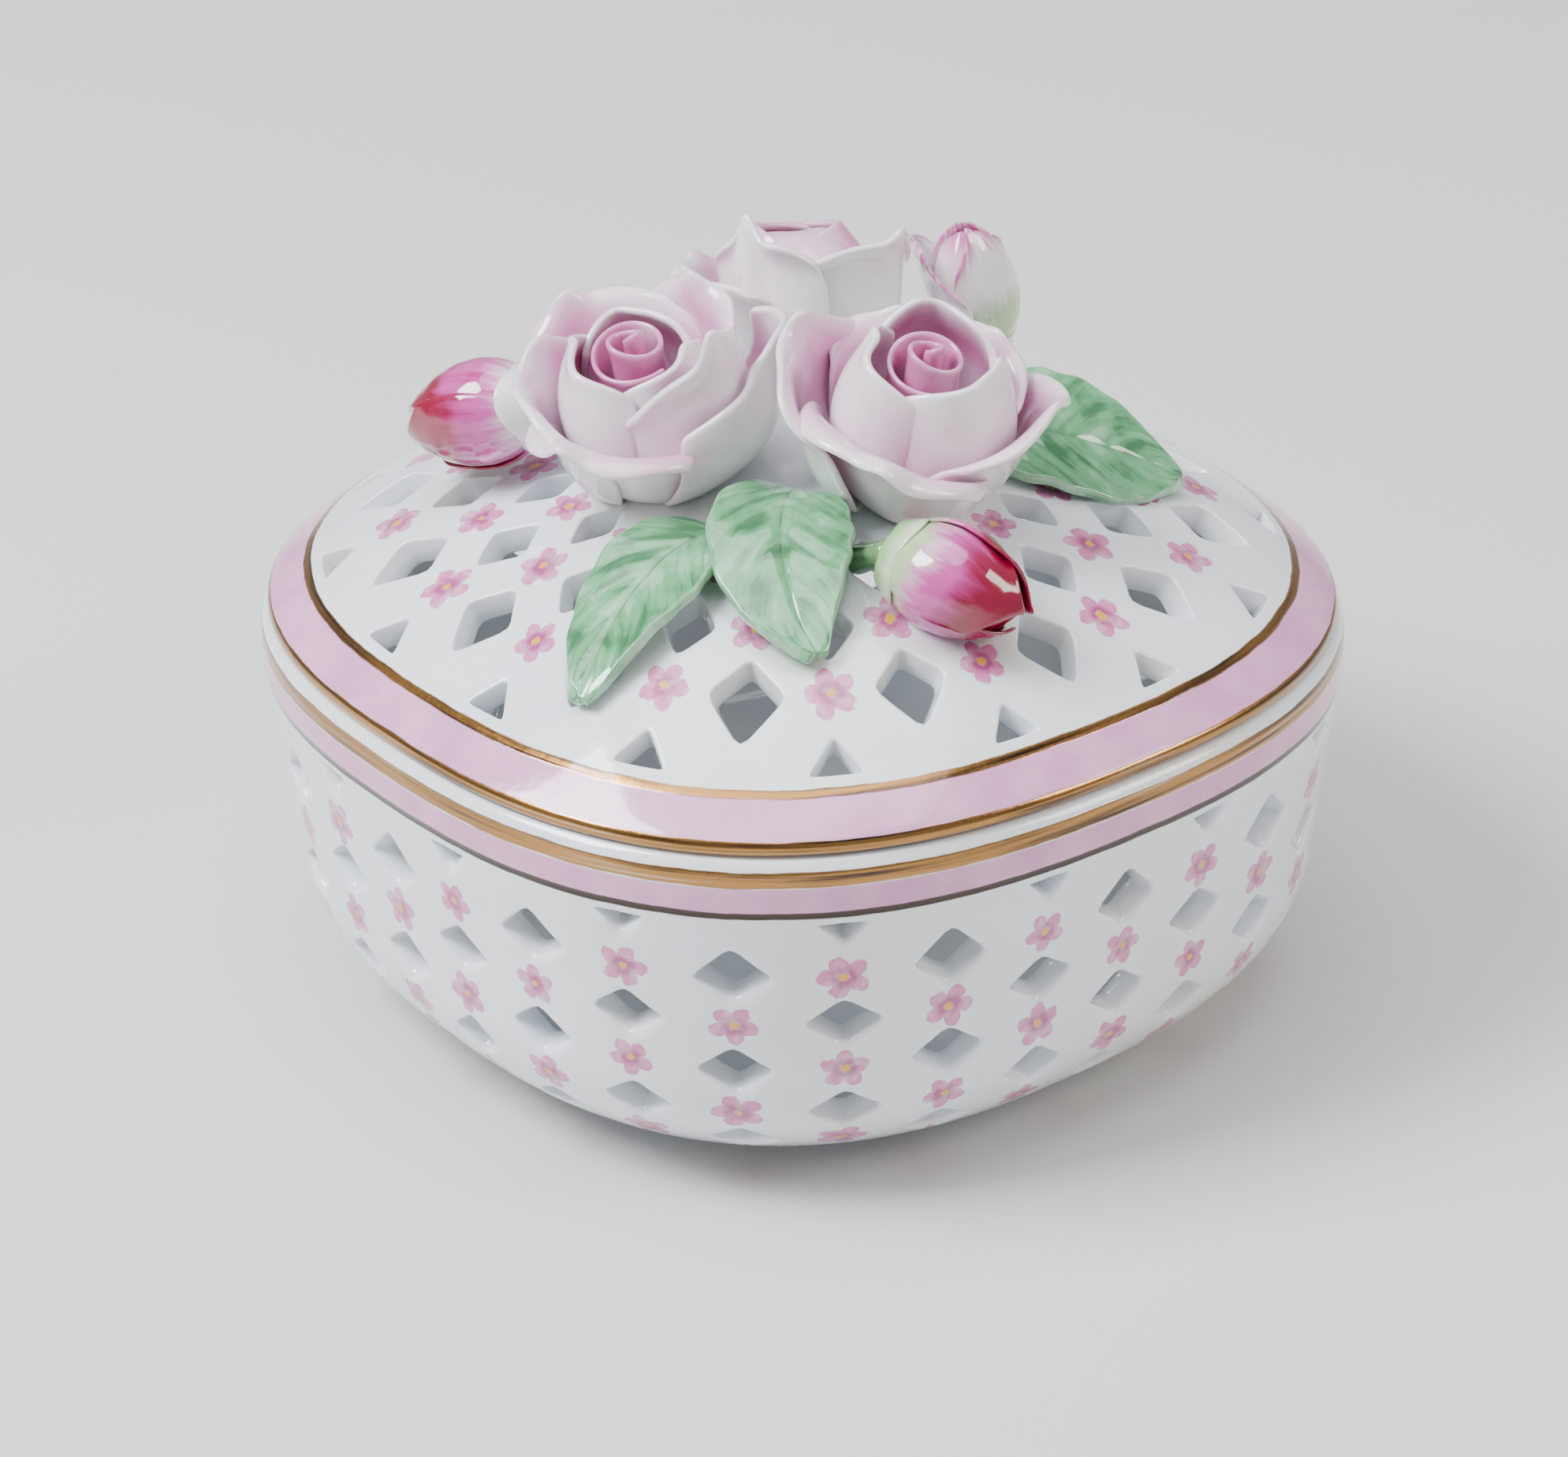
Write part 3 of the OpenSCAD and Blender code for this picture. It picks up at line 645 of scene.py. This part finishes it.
# ---- Buds ----
# Each entry: the bud's base, its tip, the foot of its stem in the lid, and its radius
BUD_PLACES = {
    "left": ((-25.7, 13.9, 73.6), (-34.2, 27.4, 68.4), (-21.5, 11, 65.2), 6.2),
    "front": ((-11.5, -31, 67.8), (-4.6, -45.2, 63.3), (-11.5, -24.5, 64.2), 6.2),
    "back": ((31, 3.6, 68.2), (25.8, 2.6, 84.6), (29.6, 4.4, 62.8), 5)}
BUD_SHARES = [0, 0.05, 0.14, 0.26, 0.4, 0.55, 0.7, 0.84, 0.94, 1]
BUD_RADII = [0.3, 0.52, 0.74, 0.92, 1, 0.97, 0.84, 0.6, 0.34, 0.1]
BUD_PETALS = 3
BUD_PETAL_SPREAD = 84
STEM_RADIUS = 1.5
CALYX_SHARE = 0.12
CALYX_LOBES = 3


def along_line(points, start, end):
    """Points of a thing that stands on the origin along +Z, moved to stand on a line."""
    start, end = Vector(start), Vector(end)
    turn = Vector((0, 0, 1)).rotation_difference(end - start).to_matrix()
    return points @ np.array(turn).T + np.array(start)


def bud_outline(bud, share):
    return BUD_PLACES[bud][3] * np.interp(share, BUD_SHARES, BUD_RADII)


def make_bud(bud, material, turn, opening):
    """A core with three wrapped petals, whose tips part at the bud's point. opening is
    how far the first petal stands off."""
    start, end = BUD_PLACES[bud][:2]
    length = np.linalg.norm(np.subtract(end, start))
    skin = Skin(*SHEET_LAYERS)
    t = np.linspace(0, 1, 24)[:, None]
    around = np.linspace(0, 2 * math.pi, 33)[None, :]
    share = 0.02 + 0.94 * t
    radius = bud_outline(bud, share) * 0.93 * np.sin(np.minimum(t * 6, 1) * math.pi / 2)
    radius = radius * np.minimum((1 - t) * 8, 1) ** 0.5 + POLE
    core = round_points(radius, around, share * length)
    skin.grid(along_line(core, start, end), sheet=pairs(0 * around, t), side=(0.0, 0.0))
    for i in range(BUD_PETALS):
        s = np.linspace(-1, 1, 19)[None, :]
        lift = opening if i == 0 else 0
        share = 0.01 + 1.03 * t * (1 - 0.24 * np.abs(s) ** 2 - 0.03 * i - 0.012 * lift)
        spread = math.radians(BUD_PETAL_SPREAD) * (1 - 0.2 * t**3)
        angle = math.radians(turn + 360 / BUD_PETALS * i) + s * spread + 0.5 * t
        flare = 0.9 * rise(t, 0.7, 0.3) ** 2 * (0.4 + 0.6 * np.abs(s))
        flare = flare + lift * rise(t, 0.35, 0.65) ** 1.6
        radius = bud_outline(bud, share) * (0.95 + 0.075 * s) + flare + 0.02
        petal = round_points(radius, angle, share * length)
        add_sheet(skin, along_line(petal, start, end), 0.6 - 0.15 * t, pairs(s, t))
    name = f"bud_{bud}_petals"
    skin.build(name, "lid", "bud", material, [f"bud_{bud}"], smooth=1)


def make_calyx(bud, material):
    """A smooth green cup, thin at its rim, round the bud's base, and its stem."""
    start, end, foot = BUD_PLACES[bud][:3]
    length = np.linalg.norm(np.subtract(end, start))
    skin = Skin(*SHEET_LAYERS)
    t = np.linspace(0, 1, 16)[:, None]
    around = np.linspace(0, 2 * math.pi, 61)[None, :]
    lobe = 0.5 + 0.5 * np.cos(around * CALYX_LOBES)
    share = t * (CALYX_SHARE + 0.06 * lobe)
    radius = bud_outline(bud, share) * np.minimum(t * 5 + 0.02, 1) + 0.5 - 0.25 * t
    cup = round_points(radius, around, share * length - 0.6 * (1 - t))
    add_sheet(skin, along_line(cup, start, end), 0.9 - 0.65 * t, pairs(around / math.pi - 1, t))
    stem_top = np.array(start) + (np.array(end) - start) * 0.02
    stem_length = np.linalg.norm(stem_top - foot)
    around = np.linspace(0, 2 * math.pi, 25)[None, :]
    t = np.array([0, 0, 0.2, 0.4, 0.6, 0.8, 1, 1])[:, None]
    swell = STEM_RADIUS * (1 + 0.25 * (2 * t - 1) ** 2)
    swell[[0, -1]] = POLE
    stem = round_points(swell, around, t * stem_length)
    skin.grid(along_line(stem, foot, stem_top), sheet=(0.0, 0.0), side=(0.0, 0.0))
    name = f"calyx_{bud}_sepals"
    skin.build(name, "lid", "leaf", material, [f"calyx_{bud}"], smooth=1)


# ---- Leaves ----
# Each entry: root point, the way the root points, turn from root to tip, length,
# half-width, rise of its arch, and how steeply it banks up to its left
LEAF_PLACES = {
    "left": ((-22, -14.5), 178, 34, 25, 6.4, 2.6, 0),
    "middle": ((-11, -14.5), 210, 52, 26, 8, 3, 0),
    "right": ((12, -15.5), -32, 10, 25, 8.4, 3, 0.4)}
LEAF_ROOT = -0.2
LEAF_TIP = 1.5
LEAF_CUP = 0.16
LEAF_THICKNESS = 1.5
LEAF_VEINS = 5
LEAF_VEIN_SLANT = 1.6  # how far a vein runs up the leaf on its way to the edge, in veins


def dome_over(x, y):
    w = (np.abs(x) ** SQUARENESS + np.abs(y) ** SQUARENESS) ** (1 / SQUARENESS)
    return dome_z(w)


def make_leaf(leaf, material):
    root, heading, bend, length, half_width, arch, bank = LEAF_PLACES[leaf]
    u = np.linspace(-1, 1, 41)[None, :]
    v = np.linspace(0, 1, 57)[:, None]
    bend_radius = length / math.radians(bend)
    way = np.radians(heading + bend * v)
    first = math.radians(heading)
    x = root[0] + bend_radius * (np.sin(way) - math.sin(first))
    y = root[1] - bend_radius * (np.cos(way) - math.cos(first))
    serration = 1 + 0.02 * np.sin(v * 2 * math.pi * LEAF_VEINS * 1.1)
    outline_share = np.maximum(np.sin(math.pi * (0.02 + 0.96 * v) ** 0.8), 0.03)
    width = half_width * outline_share**0.7 * serration
    side_x, side_y = x - np.sin(way) * width * u, y + np.cos(way) * width * u
    z = dome_over(side_x, side_y) + LEAF_ROOT + (LEAF_TIP - LEAF_ROOT) * v
    z = z + arch * np.sin(math.pi * v**0.55) + 0 * u
    rib = np.exp(-((u / 0.07) ** 2))
    vein = np.abs(np.sin(math.pi * (v * LEAF_VEINS - LEAF_VEIN_SLANT * np.abs(u))))
    fade = np.clip(1.2 - np.abs(u), 0, 1) * np.sin(math.pi * np.clip(v, 0.03, 0.97))
    relief = 0.3 * (vein**0.6 - 0.6) * fade * (1 - rib) - 0.45 * rib * fade
    wave = 0.55 * np.sin(v * 9 + np.sign(u) * 1.3) * u * u
    z = z + LEAF_CUP * width * u * u + bank * width * u + relief + wave * np.minimum(v * 3, 1)
    points = np.stack([side_x, side_y, z], -1)
    skin = Skin(*SHEET_LAYERS)
    thickness = LEAF_THICKNESS * (1.1 - 0.3 * np.abs(u) ** 3) + 0 * v
    add_sheet(skin, points, thickness, pairs(u, v))
    name = f"leaf_{leaf}_veined"
    skin.build(name, "lid", "leaf", material, [f"leaf_{leaf}"], smooth=1)


# ---- Materials ----


def srgb(red, green, blue):
    """An 8-bit display colour as linear RGBA."""
    def linear(value):
        value = value / 255
        return value / 12.92 if value <= 0.04045 else ((value + 0.055) / 1.055) ** 2.4
    return (linear(red), linear(green), linear(blue), 1.0)


class Paint:
    """A material's node tree, with a short call for each kind of node."""

    def __init__(self, name):
        self.material = bpy.data.materials.new(name)
        self.material.use_nodes = True
        self.nodes = self.material.node_tree.nodes
        self.shader = self.nodes["Principled BSDF"]

    def join(self, value, socket):
        if isinstance(value, bpy.types.NodeSocket):
            self.material.node_tree.links.new(value, socket)
        elif value is not None:
            socket.default_value = value

    def math(self, operation, first, second=None, third=None):
        node = self.nodes.new("ShaderNodeMath")
        node.operation = operation
        for value, socket in zip((first, second, third), node.inputs):
            self.join(value, socket)
        return node.outputs[0]

    def times(self, first, second):
        return self.math("MULTIPLY", first, second)

    def plus(self, first, second):
        return self.math("ADD", first, second)

    def most(self, first, second):
        return self.math("MAXIMUM", first, second)

    def line(self, value, slope, offset):
        return self.math("MULTIPLY_ADD", value, slope, offset)

    def vector(self, *parts):
        node = self.nodes.new("ShaderNodeCombineXYZ")
        for part, socket in zip(parts, node.inputs):
            self.join(part, socket)
        return node.outputs[0]

    def uv(self, layer):
        node = self.nodes.new("ShaderNodeUVMap")
        node.uv_map = layer
        split = self.nodes.new("ShaderNodeSeparateXYZ")
        self.join(node.outputs[0], split.inputs[0])
        return split.outputs[0], split.outputs[1]

    def place(self):
        """Millimetres in the object's own frame."""
        node = self.nodes.new("ShaderNodeTexCoord")
        scaled = self.nodes.new("ShaderNodeVectorMath")
        scaled.operation = "SCALE"
        self.join(node.outputs["Object"], scaled.inputs[0])
        scaled.inputs["Scale"].default_value = 1 / MM
        return scaled.outputs[0]

    def noise(self, size, detail=3.0, vector=None, roughness=0.5):
        """Noise from 0 to 1 whose features are about size millimetres."""
        node = self.nodes.new("ShaderNodeTexNoise")
        self.join(vector or self.place(), node.inputs["Vector"])
        node.inputs["Scale"].default_value = 1 / size
        node.inputs["Detail"].default_value = detail
        node.inputs["Roughness"].default_value = roughness
        return node.outputs[0]

    def ramp(self, value, low, high, start=0.0, end=1.0):
        """Goes smoothly from start to end while value goes from low to high."""
        node = self.nodes.new("ShaderNodeMapRange")
        node.interpolation_type = "SMOOTHSTEP"
        for socket, number in zip(node.inputs, (value, low, high, start, end)):
            self.join(number, socket)
        return node.outputs[0]

    def between(self, value, low, high, soft):
        """1 where value is between low and high."""
        rise = self.ramp(value, low - soft, low + soft)
        return self.times(rise, self.ramp(value, high - soft, high + soft, 1.0, 0.0))

    def mix(self, share, first, second):
        node = self.nodes.new("ShaderNodeMix")
        node.data_type = "RGBA"
        self.join(share, node.inputs[0])
        self.join(first, node.inputs[6])
        self.join(second, node.inputs[7])
        return node.outputs[2]

    def bump(self, height, strength, distance):
        node = self.nodes.new("ShaderNodeBump")
        node.inputs["Strength"].default_value = strength
        node.inputs["Distance"].default_value = distance * MM
        self.join(height, node.inputs["Height"])
        self.join(node.outputs[0], self.shader.inputs["Normal"])

    def glaze(self, colour, roughness=0.16, coat=0.7, glow=0.12):
        """A clear gloss glaze over a slightly translucent body."""
        self.join(colour, self.shader.inputs["Base Color"])
        self.join(roughness, self.shader.inputs["Roughness"])
        self.shader.inputs["Coat Weight"].default_value = coat
        self.shader.inputs["Coat Roughness"].default_value = 0.05
        self.shader.inputs["Subsurface Weight"].default_value = glow
        self.shader.inputs["Subsurface Radius"].default_value = (1.0, 0.8, 0.7)
        self.shader.inputs["Subsurface Scale"].default_value = 0.0015


WHITE = srgb(237, 243, 251)
CREAM = srgb(238, 238, 236)
BAND_PINK = srgb(228, 168, 206)
DEEP_BAND_PINK = srgb(212, 144, 190)
# The gold is kept dark and its dark tone is near black: painted reflection of dark surroundings
# in the gilding.
GOLD = srgb(174, 124, 62)
DARK_REFLECTED_GOLD = srgb(46, 28, 20)
FLOWER_PINK = srgb(220, 126, 178)
FLOWER_DEEP = srgb(174, 66, 130)
FLOWER_EYE = srgb(236, 170, 62)
FLOWER_PETALS = 5
FLOWER_PETAL_AT = 1.7  # millimetres from the flower's middle to a petal's
FLOWER_PETAL_HALF_LENGTH = 1.3
FLOWER_PETAL_HALF_WIDTH = 1.08
STREAK_RADIUS = 2.6  # of the ring in noise space that the gold streaks run round


def painted_flower(paint, ground):
    """Mixes the five-petalled flower of the flower and seed layers over a colour."""
    across, down = paint.uv("flower")
    seed, there = paint.uv("seed")
    wobble = paint.noise(1.3, 2.0)
    radius = paint.math("SQRT", paint.plus(paint.times(across, across), paint.times(down, down)))
    radius = paint.times(radius, paint.line(seed, 0.2, 1.0))
    radius = paint.plus(radius, paint.line(wobble, 1.0, -0.42))
    angle = paint.plus(paint.math("ARCTAN2", down, across), paint.times(seed, 6.28))
    fifth = 2 * math.pi / FLOWER_PETALS
    angle = paint.plus(angle, paint.line(wobble, 0.3, 6 * fifth + fifth / 2))
    sector = paint.math("SUBTRACT", paint.math("MODULO", angle, fifth), fifth / 2)
    along = paint.times(radius, paint.math("COSINE", sector))
    beside = paint.times(radius, paint.math("SINE", sector))
    along = paint.math("SUBTRACT", along, FLOWER_PETAL_AT)
    along = paint.math("DIVIDE", along, FLOWER_PETAL_HALF_LENGTH)
    beside = paint.math("DIVIDE", beside, FLOWER_PETAL_HALF_WIDTH)
    petal = paint.plus(paint.times(along, along), paint.times(beside, beside))
    mask = paint.times(paint.ramp(petal, 0.78, 1.2, 1.0, 0.0), there)
    rim = paint.ramp(petal, 0.45, 0.9)
    vein = paint.ramp(radius, 0.8, 2.1, 0.9, 0.0)
    depth = paint.most(paint.times(rim, 0.35), vein)
    depth = paint.plus(depth, paint.line(paint.noise(0.7, 3.0), 0.9, -0.42))
    colour = paint.mix(paint.ramp(depth, 0.0, 1.0), FLOWER_PINK, FLOWER_DEEP)
    strength = paint.times(mask, paint.ramp(paint.noise(1.6, 2.0), 0.25, 0.6, 0.66, 0.98))
    painted = paint.mix(strength, ground, colour)
    eye = paint.times(paint.ramp(radius, 0.4, 0.75, 1.0, 0.0), there)
    return paint.mix(eye, painted, FLOWER_EYE)


def porcelain(name, pink, gold, dark_reflected_gold):
    """White glaze with flowers. The bands pink, gold and dark gold are each lists of [low, high]
    in millimetres on the profile layer. The dark gold lines, and the dark streaks through the
    gold, are painted dark reflection."""
    paint = Paint(name)
    column, level = paint.uv("profile")
    tone = paint.noise(16, 3.0)
    colour = paint.mix(paint.ramp(tone, 0.3, 0.75), WHITE, CREAM)
    colour = painted_flower(paint, colour)
    brushed = paint.plus(level, paint.line(paint.noise(6, 3.0), 0.45, -0.22))
    for low, high in pink:
        shade = paint.mix(paint.ramp(paint.noise(7, 4.0), 0.3, 0.75), BAND_PINK, DEEP_BAND_PINK)
        colour = paint.mix(paint.between(level, low, high, 0.08), colour, shade)
    turn = paint.times(column, 2 * math.pi / COLUMNS)
    stroke = paint.vector(
        paint.times(paint.math("COSINE", turn), STREAK_RADIUS),
        paint.times(paint.math("SINE", turn), STREAK_RADIUS),
        paint.times(level, 2.2))
    streak = paint.noise(1.0, 4.0, vector=stroke)
    metal = 0.0
    for ranges, tint in ((gold, GOLD), (dark_reflected_gold, DARK_REFLECTED_GOLD)):
        for low, high in ranges:
            mask = paint.between(brushed, low, high, 0.1)
            thin = paint.times(mask, paint.ramp(streak, 0.28, 0.4, 0.75, 1.0))
            # The gold is streaked with its dark tone: painted dark reflection.
            gilt_and_reflection = paint.mix(paint.ramp(streak, 0.42, 0.72), tint, DARK_REFLECTED_GOLD)
            colour = paint.mix(thin, colour, gilt_and_reflection)
            metal = paint.most(metal, mask)
    paint.join(paint.times(metal, 0.9), paint.shader.inputs["Metallic"])
    speck = paint.noise(0.5, 2.0)
    roughness = paint.plus(paint.times(metal, 0.06), paint.ramp(speck, 0.3, 0.8, 0.13, 0.22))
    paint.glaze(colour, roughness)
    grain = paint.plus(paint.noise(5, 3.0), paint.times(metal, 0.25))
    paint.bump(grain, 0.5, 0.25)
    return paint.material


PETAL_WHITE = srgb(246, 243, 244)
PETAL_PINK = srgb(224, 152, 198)
# The deep pink is partly the spray's colour and partly painted shade inside the cup.
PETAL_DEEP_PINK_AND_SHADE = srgb(208, 102, 164)


def petal_porcelain(name, blush):
    """White, with pink sprayed inside and over the upper part, and pale lips. blush is
    how far the pink goes over the outside too. The deeper pink inside, towards the top, is
    partly the spray and partly painted shade inside the cup."""
    paint = Paint(name)
    across, along = paint.uv("sheet")
    side, _ = paint.uv("side")
    mottle = paint.line(paint.noise(5, 3.0), 0.5, -0.25)
    patch = paint.ramp(paint.noise(13, 2.0), 0.36, 0.62)
    height = paint.plus(along, mottle)
    inside = paint.times(paint.ramp(height, 0.1, 0.7), paint.most(side, blush))
    outside = paint.times(paint.ramp(height, 0.5, 1.1), paint.times(patch, 0.75))
    pink = paint.most(paint.times(inside, paint.line(patch, 0.4, 0.6)), outside)
    pale_lip = paint.ramp(along, 0.76, 1.0, 1.0, 0.25 + 0.65 * blush)
    colour = paint.mix(paint.times(pink, pale_lip), PETAL_WHITE, PETAL_PINK)
    # Deeper pink inside: partly the spray, partly painted shade inside the cup.
    deep_pink_and_shade = paint.times(paint.times(inside, patch), paint.ramp(height, 0.5, 1.0, 0.15, 0.7))
    colour = paint.mix(paint.times(deep_pink_and_shade, pale_lip), colour, PETAL_DEEP_PINK_AND_SHADE)
    paint.glaze(colour, paint.ramp(paint.noise(0.5, 2.0), 0.3, 0.8, 0.15, 0.26), glow=0.2)
    paint.bump(paint.noise(2.4, 4.0), 0.35, 0.2)
    return paint.material


BUD_GREEN = srgb(176, 206, 150)
BUD_WHITE = srgb(244, 236, 240)
BUD_PINK = srgb(204, 78, 160)
BUD_CRIMSON = srgb(140, 6, 50)


def bud_porcelain(name, blush, green):
    """White, streaked pink, crimson at the tip. blush shifts the pink down the bud, and
    green is how far up the green of its base goes."""
    paint = Paint(name)
    across, along = paint.uv("sheet")
    stroke = paint.vector(paint.times(across, 7.0), paint.times(along, 1.6))
    streak = paint.noise(1.0, 4.0, vector=stroke)
    height = paint.plus(along, paint.line(streak, 0.55, blush - 0.27))
    edge = paint.ramp(paint.math("ABSOLUTE", across), 0.82, 1.0, 0.0, 0.3)
    base = paint.plus(along, paint.line(streak, 0.3, -0.15))
    colour = paint.mix(paint.ramp(base, green - 0.22, green, 1.0, 0.0), BUD_WHITE, BUD_GREEN)
    colour = paint.mix(paint.ramp(height, 0.28, 0.62), colour, BUD_PINK)
    colour = paint.mix(paint.times(edge, paint.ramp(height, 0.3, 0.7)), colour, BUD_PINK)
    wash = paint.plus(height, paint.line(paint.noise(6, 2.0), 0.7, -0.35))
    colour = paint.mix(paint.ramp(wash, 0.62, 0.95), colour, BUD_CRIMSON)
    paint.glaze(colour, 0.1, coat=1.0)
    paint.bump(streak, 0.25, 0.15)
    return paint.material


LEAF_GREEN = srgb(104, 172, 122)
LEAF_DEEP = srgb(50, 108, 66)
# The pale green is partly lighter paint and partly painted sheen.
LEAF_PALE_AND_SHEEN = srgb(186, 222, 192)


def leaf_porcelain():
    """Green, brushed darker along the veins, paler in patches, with a pale edge. The pale patches
    and edge are partly lighter paint and partly painted pearly sheen.
    """
    paint = Paint("leaf glaze")
    across, along = paint.uv("sheet")
    aside = paint.math("ABSOLUTE", across)
    lag = paint.times(aside, LEAF_VEIN_SLANT)
    slant = paint.math("SUBTRACT", paint.times(along, LEAF_VEINS), lag)
    vein = paint.math("ABSOLUTE", paint.math("SINE", paint.times(slant, math.pi)))
    stroke = paint.vector(paint.times(slant, 2.4), paint.times(across, 1.1))
    brush = paint.noise(1.0, 4.0, vector=stroke)
    wash = paint.noise(5, 2.0)
    rib = paint.ramp(aside, 0.02, 0.1, 0.4, 0.0)
    dark = paint.most(paint.ramp(vein, 0.1, 0.45, 0.3, 0.0), rib)
    both = paint.plus(brush, paint.line(wash, 0.9, -0.45))
    dark = paint.most(dark, paint.ramp(both, 0.46, 0.72, 0.0, 0.9))
    colour = paint.mix(dark, LEAF_GREEN, LEAF_DEEP)
    # Pale patches: partly lighter paint, partly painted sheen.
    colour = paint.mix(paint.ramp(both, 0.44, 0.26, 0.0, 0.4), colour, LEAF_PALE_AND_SHEEN)
    edge = paint.plus(aside, paint.line(wash, 0.2, -0.1))
    # Pale edge: partly lighter paint, partly painted highlight on the rounded edge.
    colour = paint.mix(paint.ramp(edge, 0.95, 1.05, 0.0, 0.8), colour, LEAF_PALE_AND_SHEEN)
    paint.glaze(colour, 0.12, coat=1.0)
    paint.bump(paint.noise(1.5, 4.0), 0.3, 0.2)
    return paint.material


CALYX_GREEN = srgb(150, 194, 130)
CALYX_PALE = srgb(206, 222, 190)


def calyx_porcelain(name, green):
    """Green, paler towards the rim. green is how strong it is."""
    paint = Paint(name)
    _, along = paint.uv("sheet")
    height = paint.plus(along, paint.line(paint.noise(2.0, 4.0), 0.5, -0.25))
    colour = paint.mix(paint.ramp(height, 0.35, 0.9), CALYX_GREEN, CALYX_PALE)
    colour = paint.mix(paint.ramp(height, 0.0, 0.3, 0.6, 0.0), colour, LEAF_DEEP)
    colour = paint.mix(green, BUD_WHITE, colour)
    paint.glaze(colour, 0.14, coat=1.0)
    paint.bump(paint.noise(1.5, 3.0), 0.3, 0.15)
    return paint.material


# ---- The object ----

# Levels on the bowl: the rim's top is at -6.6 and the pierced wall starts at 0
# The dark gold line at 0 is painted dark reflection.
make_bowl(porcelain(
    "bowl glaze", pink=[(-3.4, 0.1)], gold=[(-5.3, -3.5)], dark_reflected_gold=[(-0.45, 0.45)]))
# Levels on the lid: the band runs from 0 to its lip at about -6.5
make_lid(porcelain(
    "lid glaze", pink=[(-4.7, -0.1)], gold=[(-0.5, 0.35), (-7.4, -4.5)], dark_reflected_gold=[]))
rose_material = petal_porcelain("rose glaze", blush=0.0)
heart_material = petal_porcelain("rose heart glaze", blush=1.0)
for rose in ROSE_PLACES:
    make_rose(rose, rose_material, heart_material)
leaf_material = leaf_porcelain()
for leaf in LEAF_PLACES:
    make_leaf(leaf, leaf_material)
# Each bud: turn of its first petal, blush, how far up its green goes, how green its
# calyx is, and how far its first petal stands off
BUD_LOOKS = (
    ("left", 40, 0.3, 0.0, 0.15, 0), ("front", 10, 0.14, 0.42, 1.0, 0),
    ("back", 132, -0.48, 0.6, 0.8, 4.0))
for bud, turn, blush, green, calyx_green, opening in BUD_LOOKS:
    make_bud(bud, bud_porcelain(f"{bud} bud glaze", blush, green), turn, opening)
    make_calyx(bud, calyx_porcelain(f"{bud} calyx glaze", calyx_green))

# ---- Floor, light and camera ----


FLOOR_HALF_WIDTH = 12.0
FLOOR_GREY = srgb(214, 213, 210)
LIGHT_TARGET = Vector((0, 0, 0.05))


def make_floor():
    mesh = bpy.data.meshes.new("floor")
    half = FLOOR_HALF_WIDTH
    corners = [(-half, -half, 0), (half, -half, 0), (half, half, 0), (-half, half, 0)]
    mesh.from_pydata(corners, [], [(0, 1, 2, 3)])
    floor = add_object("floor", mesh)
    paint = Paint("floor")
    paint.join(FLOOR_GREY, paint.shader.inputs["Base Color"])
    paint.join(0.7, paint.shader.inputs["Roughness"])
    mesh.materials.append(paint.material)


def towards(azimuth, elevation):
    """The way to a viewer: azimuth 0 is in front, looking along +Y."""
    a, e = math.radians(azimuth), math.radians(elevation)
    return Vector((math.sin(a) * math.cos(e), -math.cos(a) * math.cos(e), math.sin(e)))


def make_light(name, azimuth, elevation, distance, size, power, colour):
    """A square soft light that shines on the box."""
    light = bpy.data.lights.new(name, "AREA")
    light.shape = "SQUARE"
    light.size = size
    light.energy = power
    light.color = colour
    lamp = add_object(name, light)
    back = towards(azimuth, elevation)
    lamp.location = LIGHT_TARGET + back * distance
    lamp.rotation_euler = back.to_track_quat("Z", "Y").to_euler()


def make_sky(strength, spread):
    """Soft light straight down, even over the whole floor."""
    light = bpy.data.lights.new("sky", "SUN")
    light.energy = strength
    light.angle = math.radians(spread)
    light.color = (0.96, 0.98, 1.0)
    add_object("sky", light)


def make_world():
    world = bpy.data.worlds.new("studio")
    world.use_nodes = True
    background = world.node_tree.nodes["Background"]
    background.inputs["Color"].default_value = (0.93, 0.95, 1.0, 1.0)
    background.inputs["Strength"].default_value = 0.36
    bpy.context.scene.world = world


CAMERA_AZIMUTH = -37.4
CAMERA_ELEVATION = 28.54
CAMERA_ROLL = -0.955
CAMERA_DISTANCE = 0.575
CAMERA_TARGET = (-0.00167, 0.00128, 0.0291)
CAMERA_LENS = 112.8
CAMERA_SENSOR = 36


def make_camera():
    data = bpy.data.cameras.new("camera")
    data.lens = CAMERA_LENS
    data.sensor_width = CAMERA_SENSOR
    camera = add_object("camera", data)
    back = towards(CAMERA_AZIMUTH, CAMERA_ELEVATION)
    turn = (-back).to_track_quat("-Z", "Y").to_matrix().to_4x4()
    roll = Matrix.Rotation(math.radians(CAMERA_ROLL), 4, "Z")
    place = Matrix.Translation(Vector(CAMERA_TARGET) + back * CAMERA_DISTANCE)
    camera.matrix_world = place @ turn @ roll
    bpy.context.scene.camera = camera


make_floor()
make_world()
make_light(
    "window", azimuth=-112, elevation=50, distance=0.9, size=0.4, power=15.0,
    colour=(0.92, 0.97, 1.0))
make_light(
    "lamp", azimuth=40, elevation=32, distance=1.0, size=0.35, power=4.0,
    colour=(1.0, 0.94, 0.86))
make_sky(strength=2.0, spread=50)
make_camera()
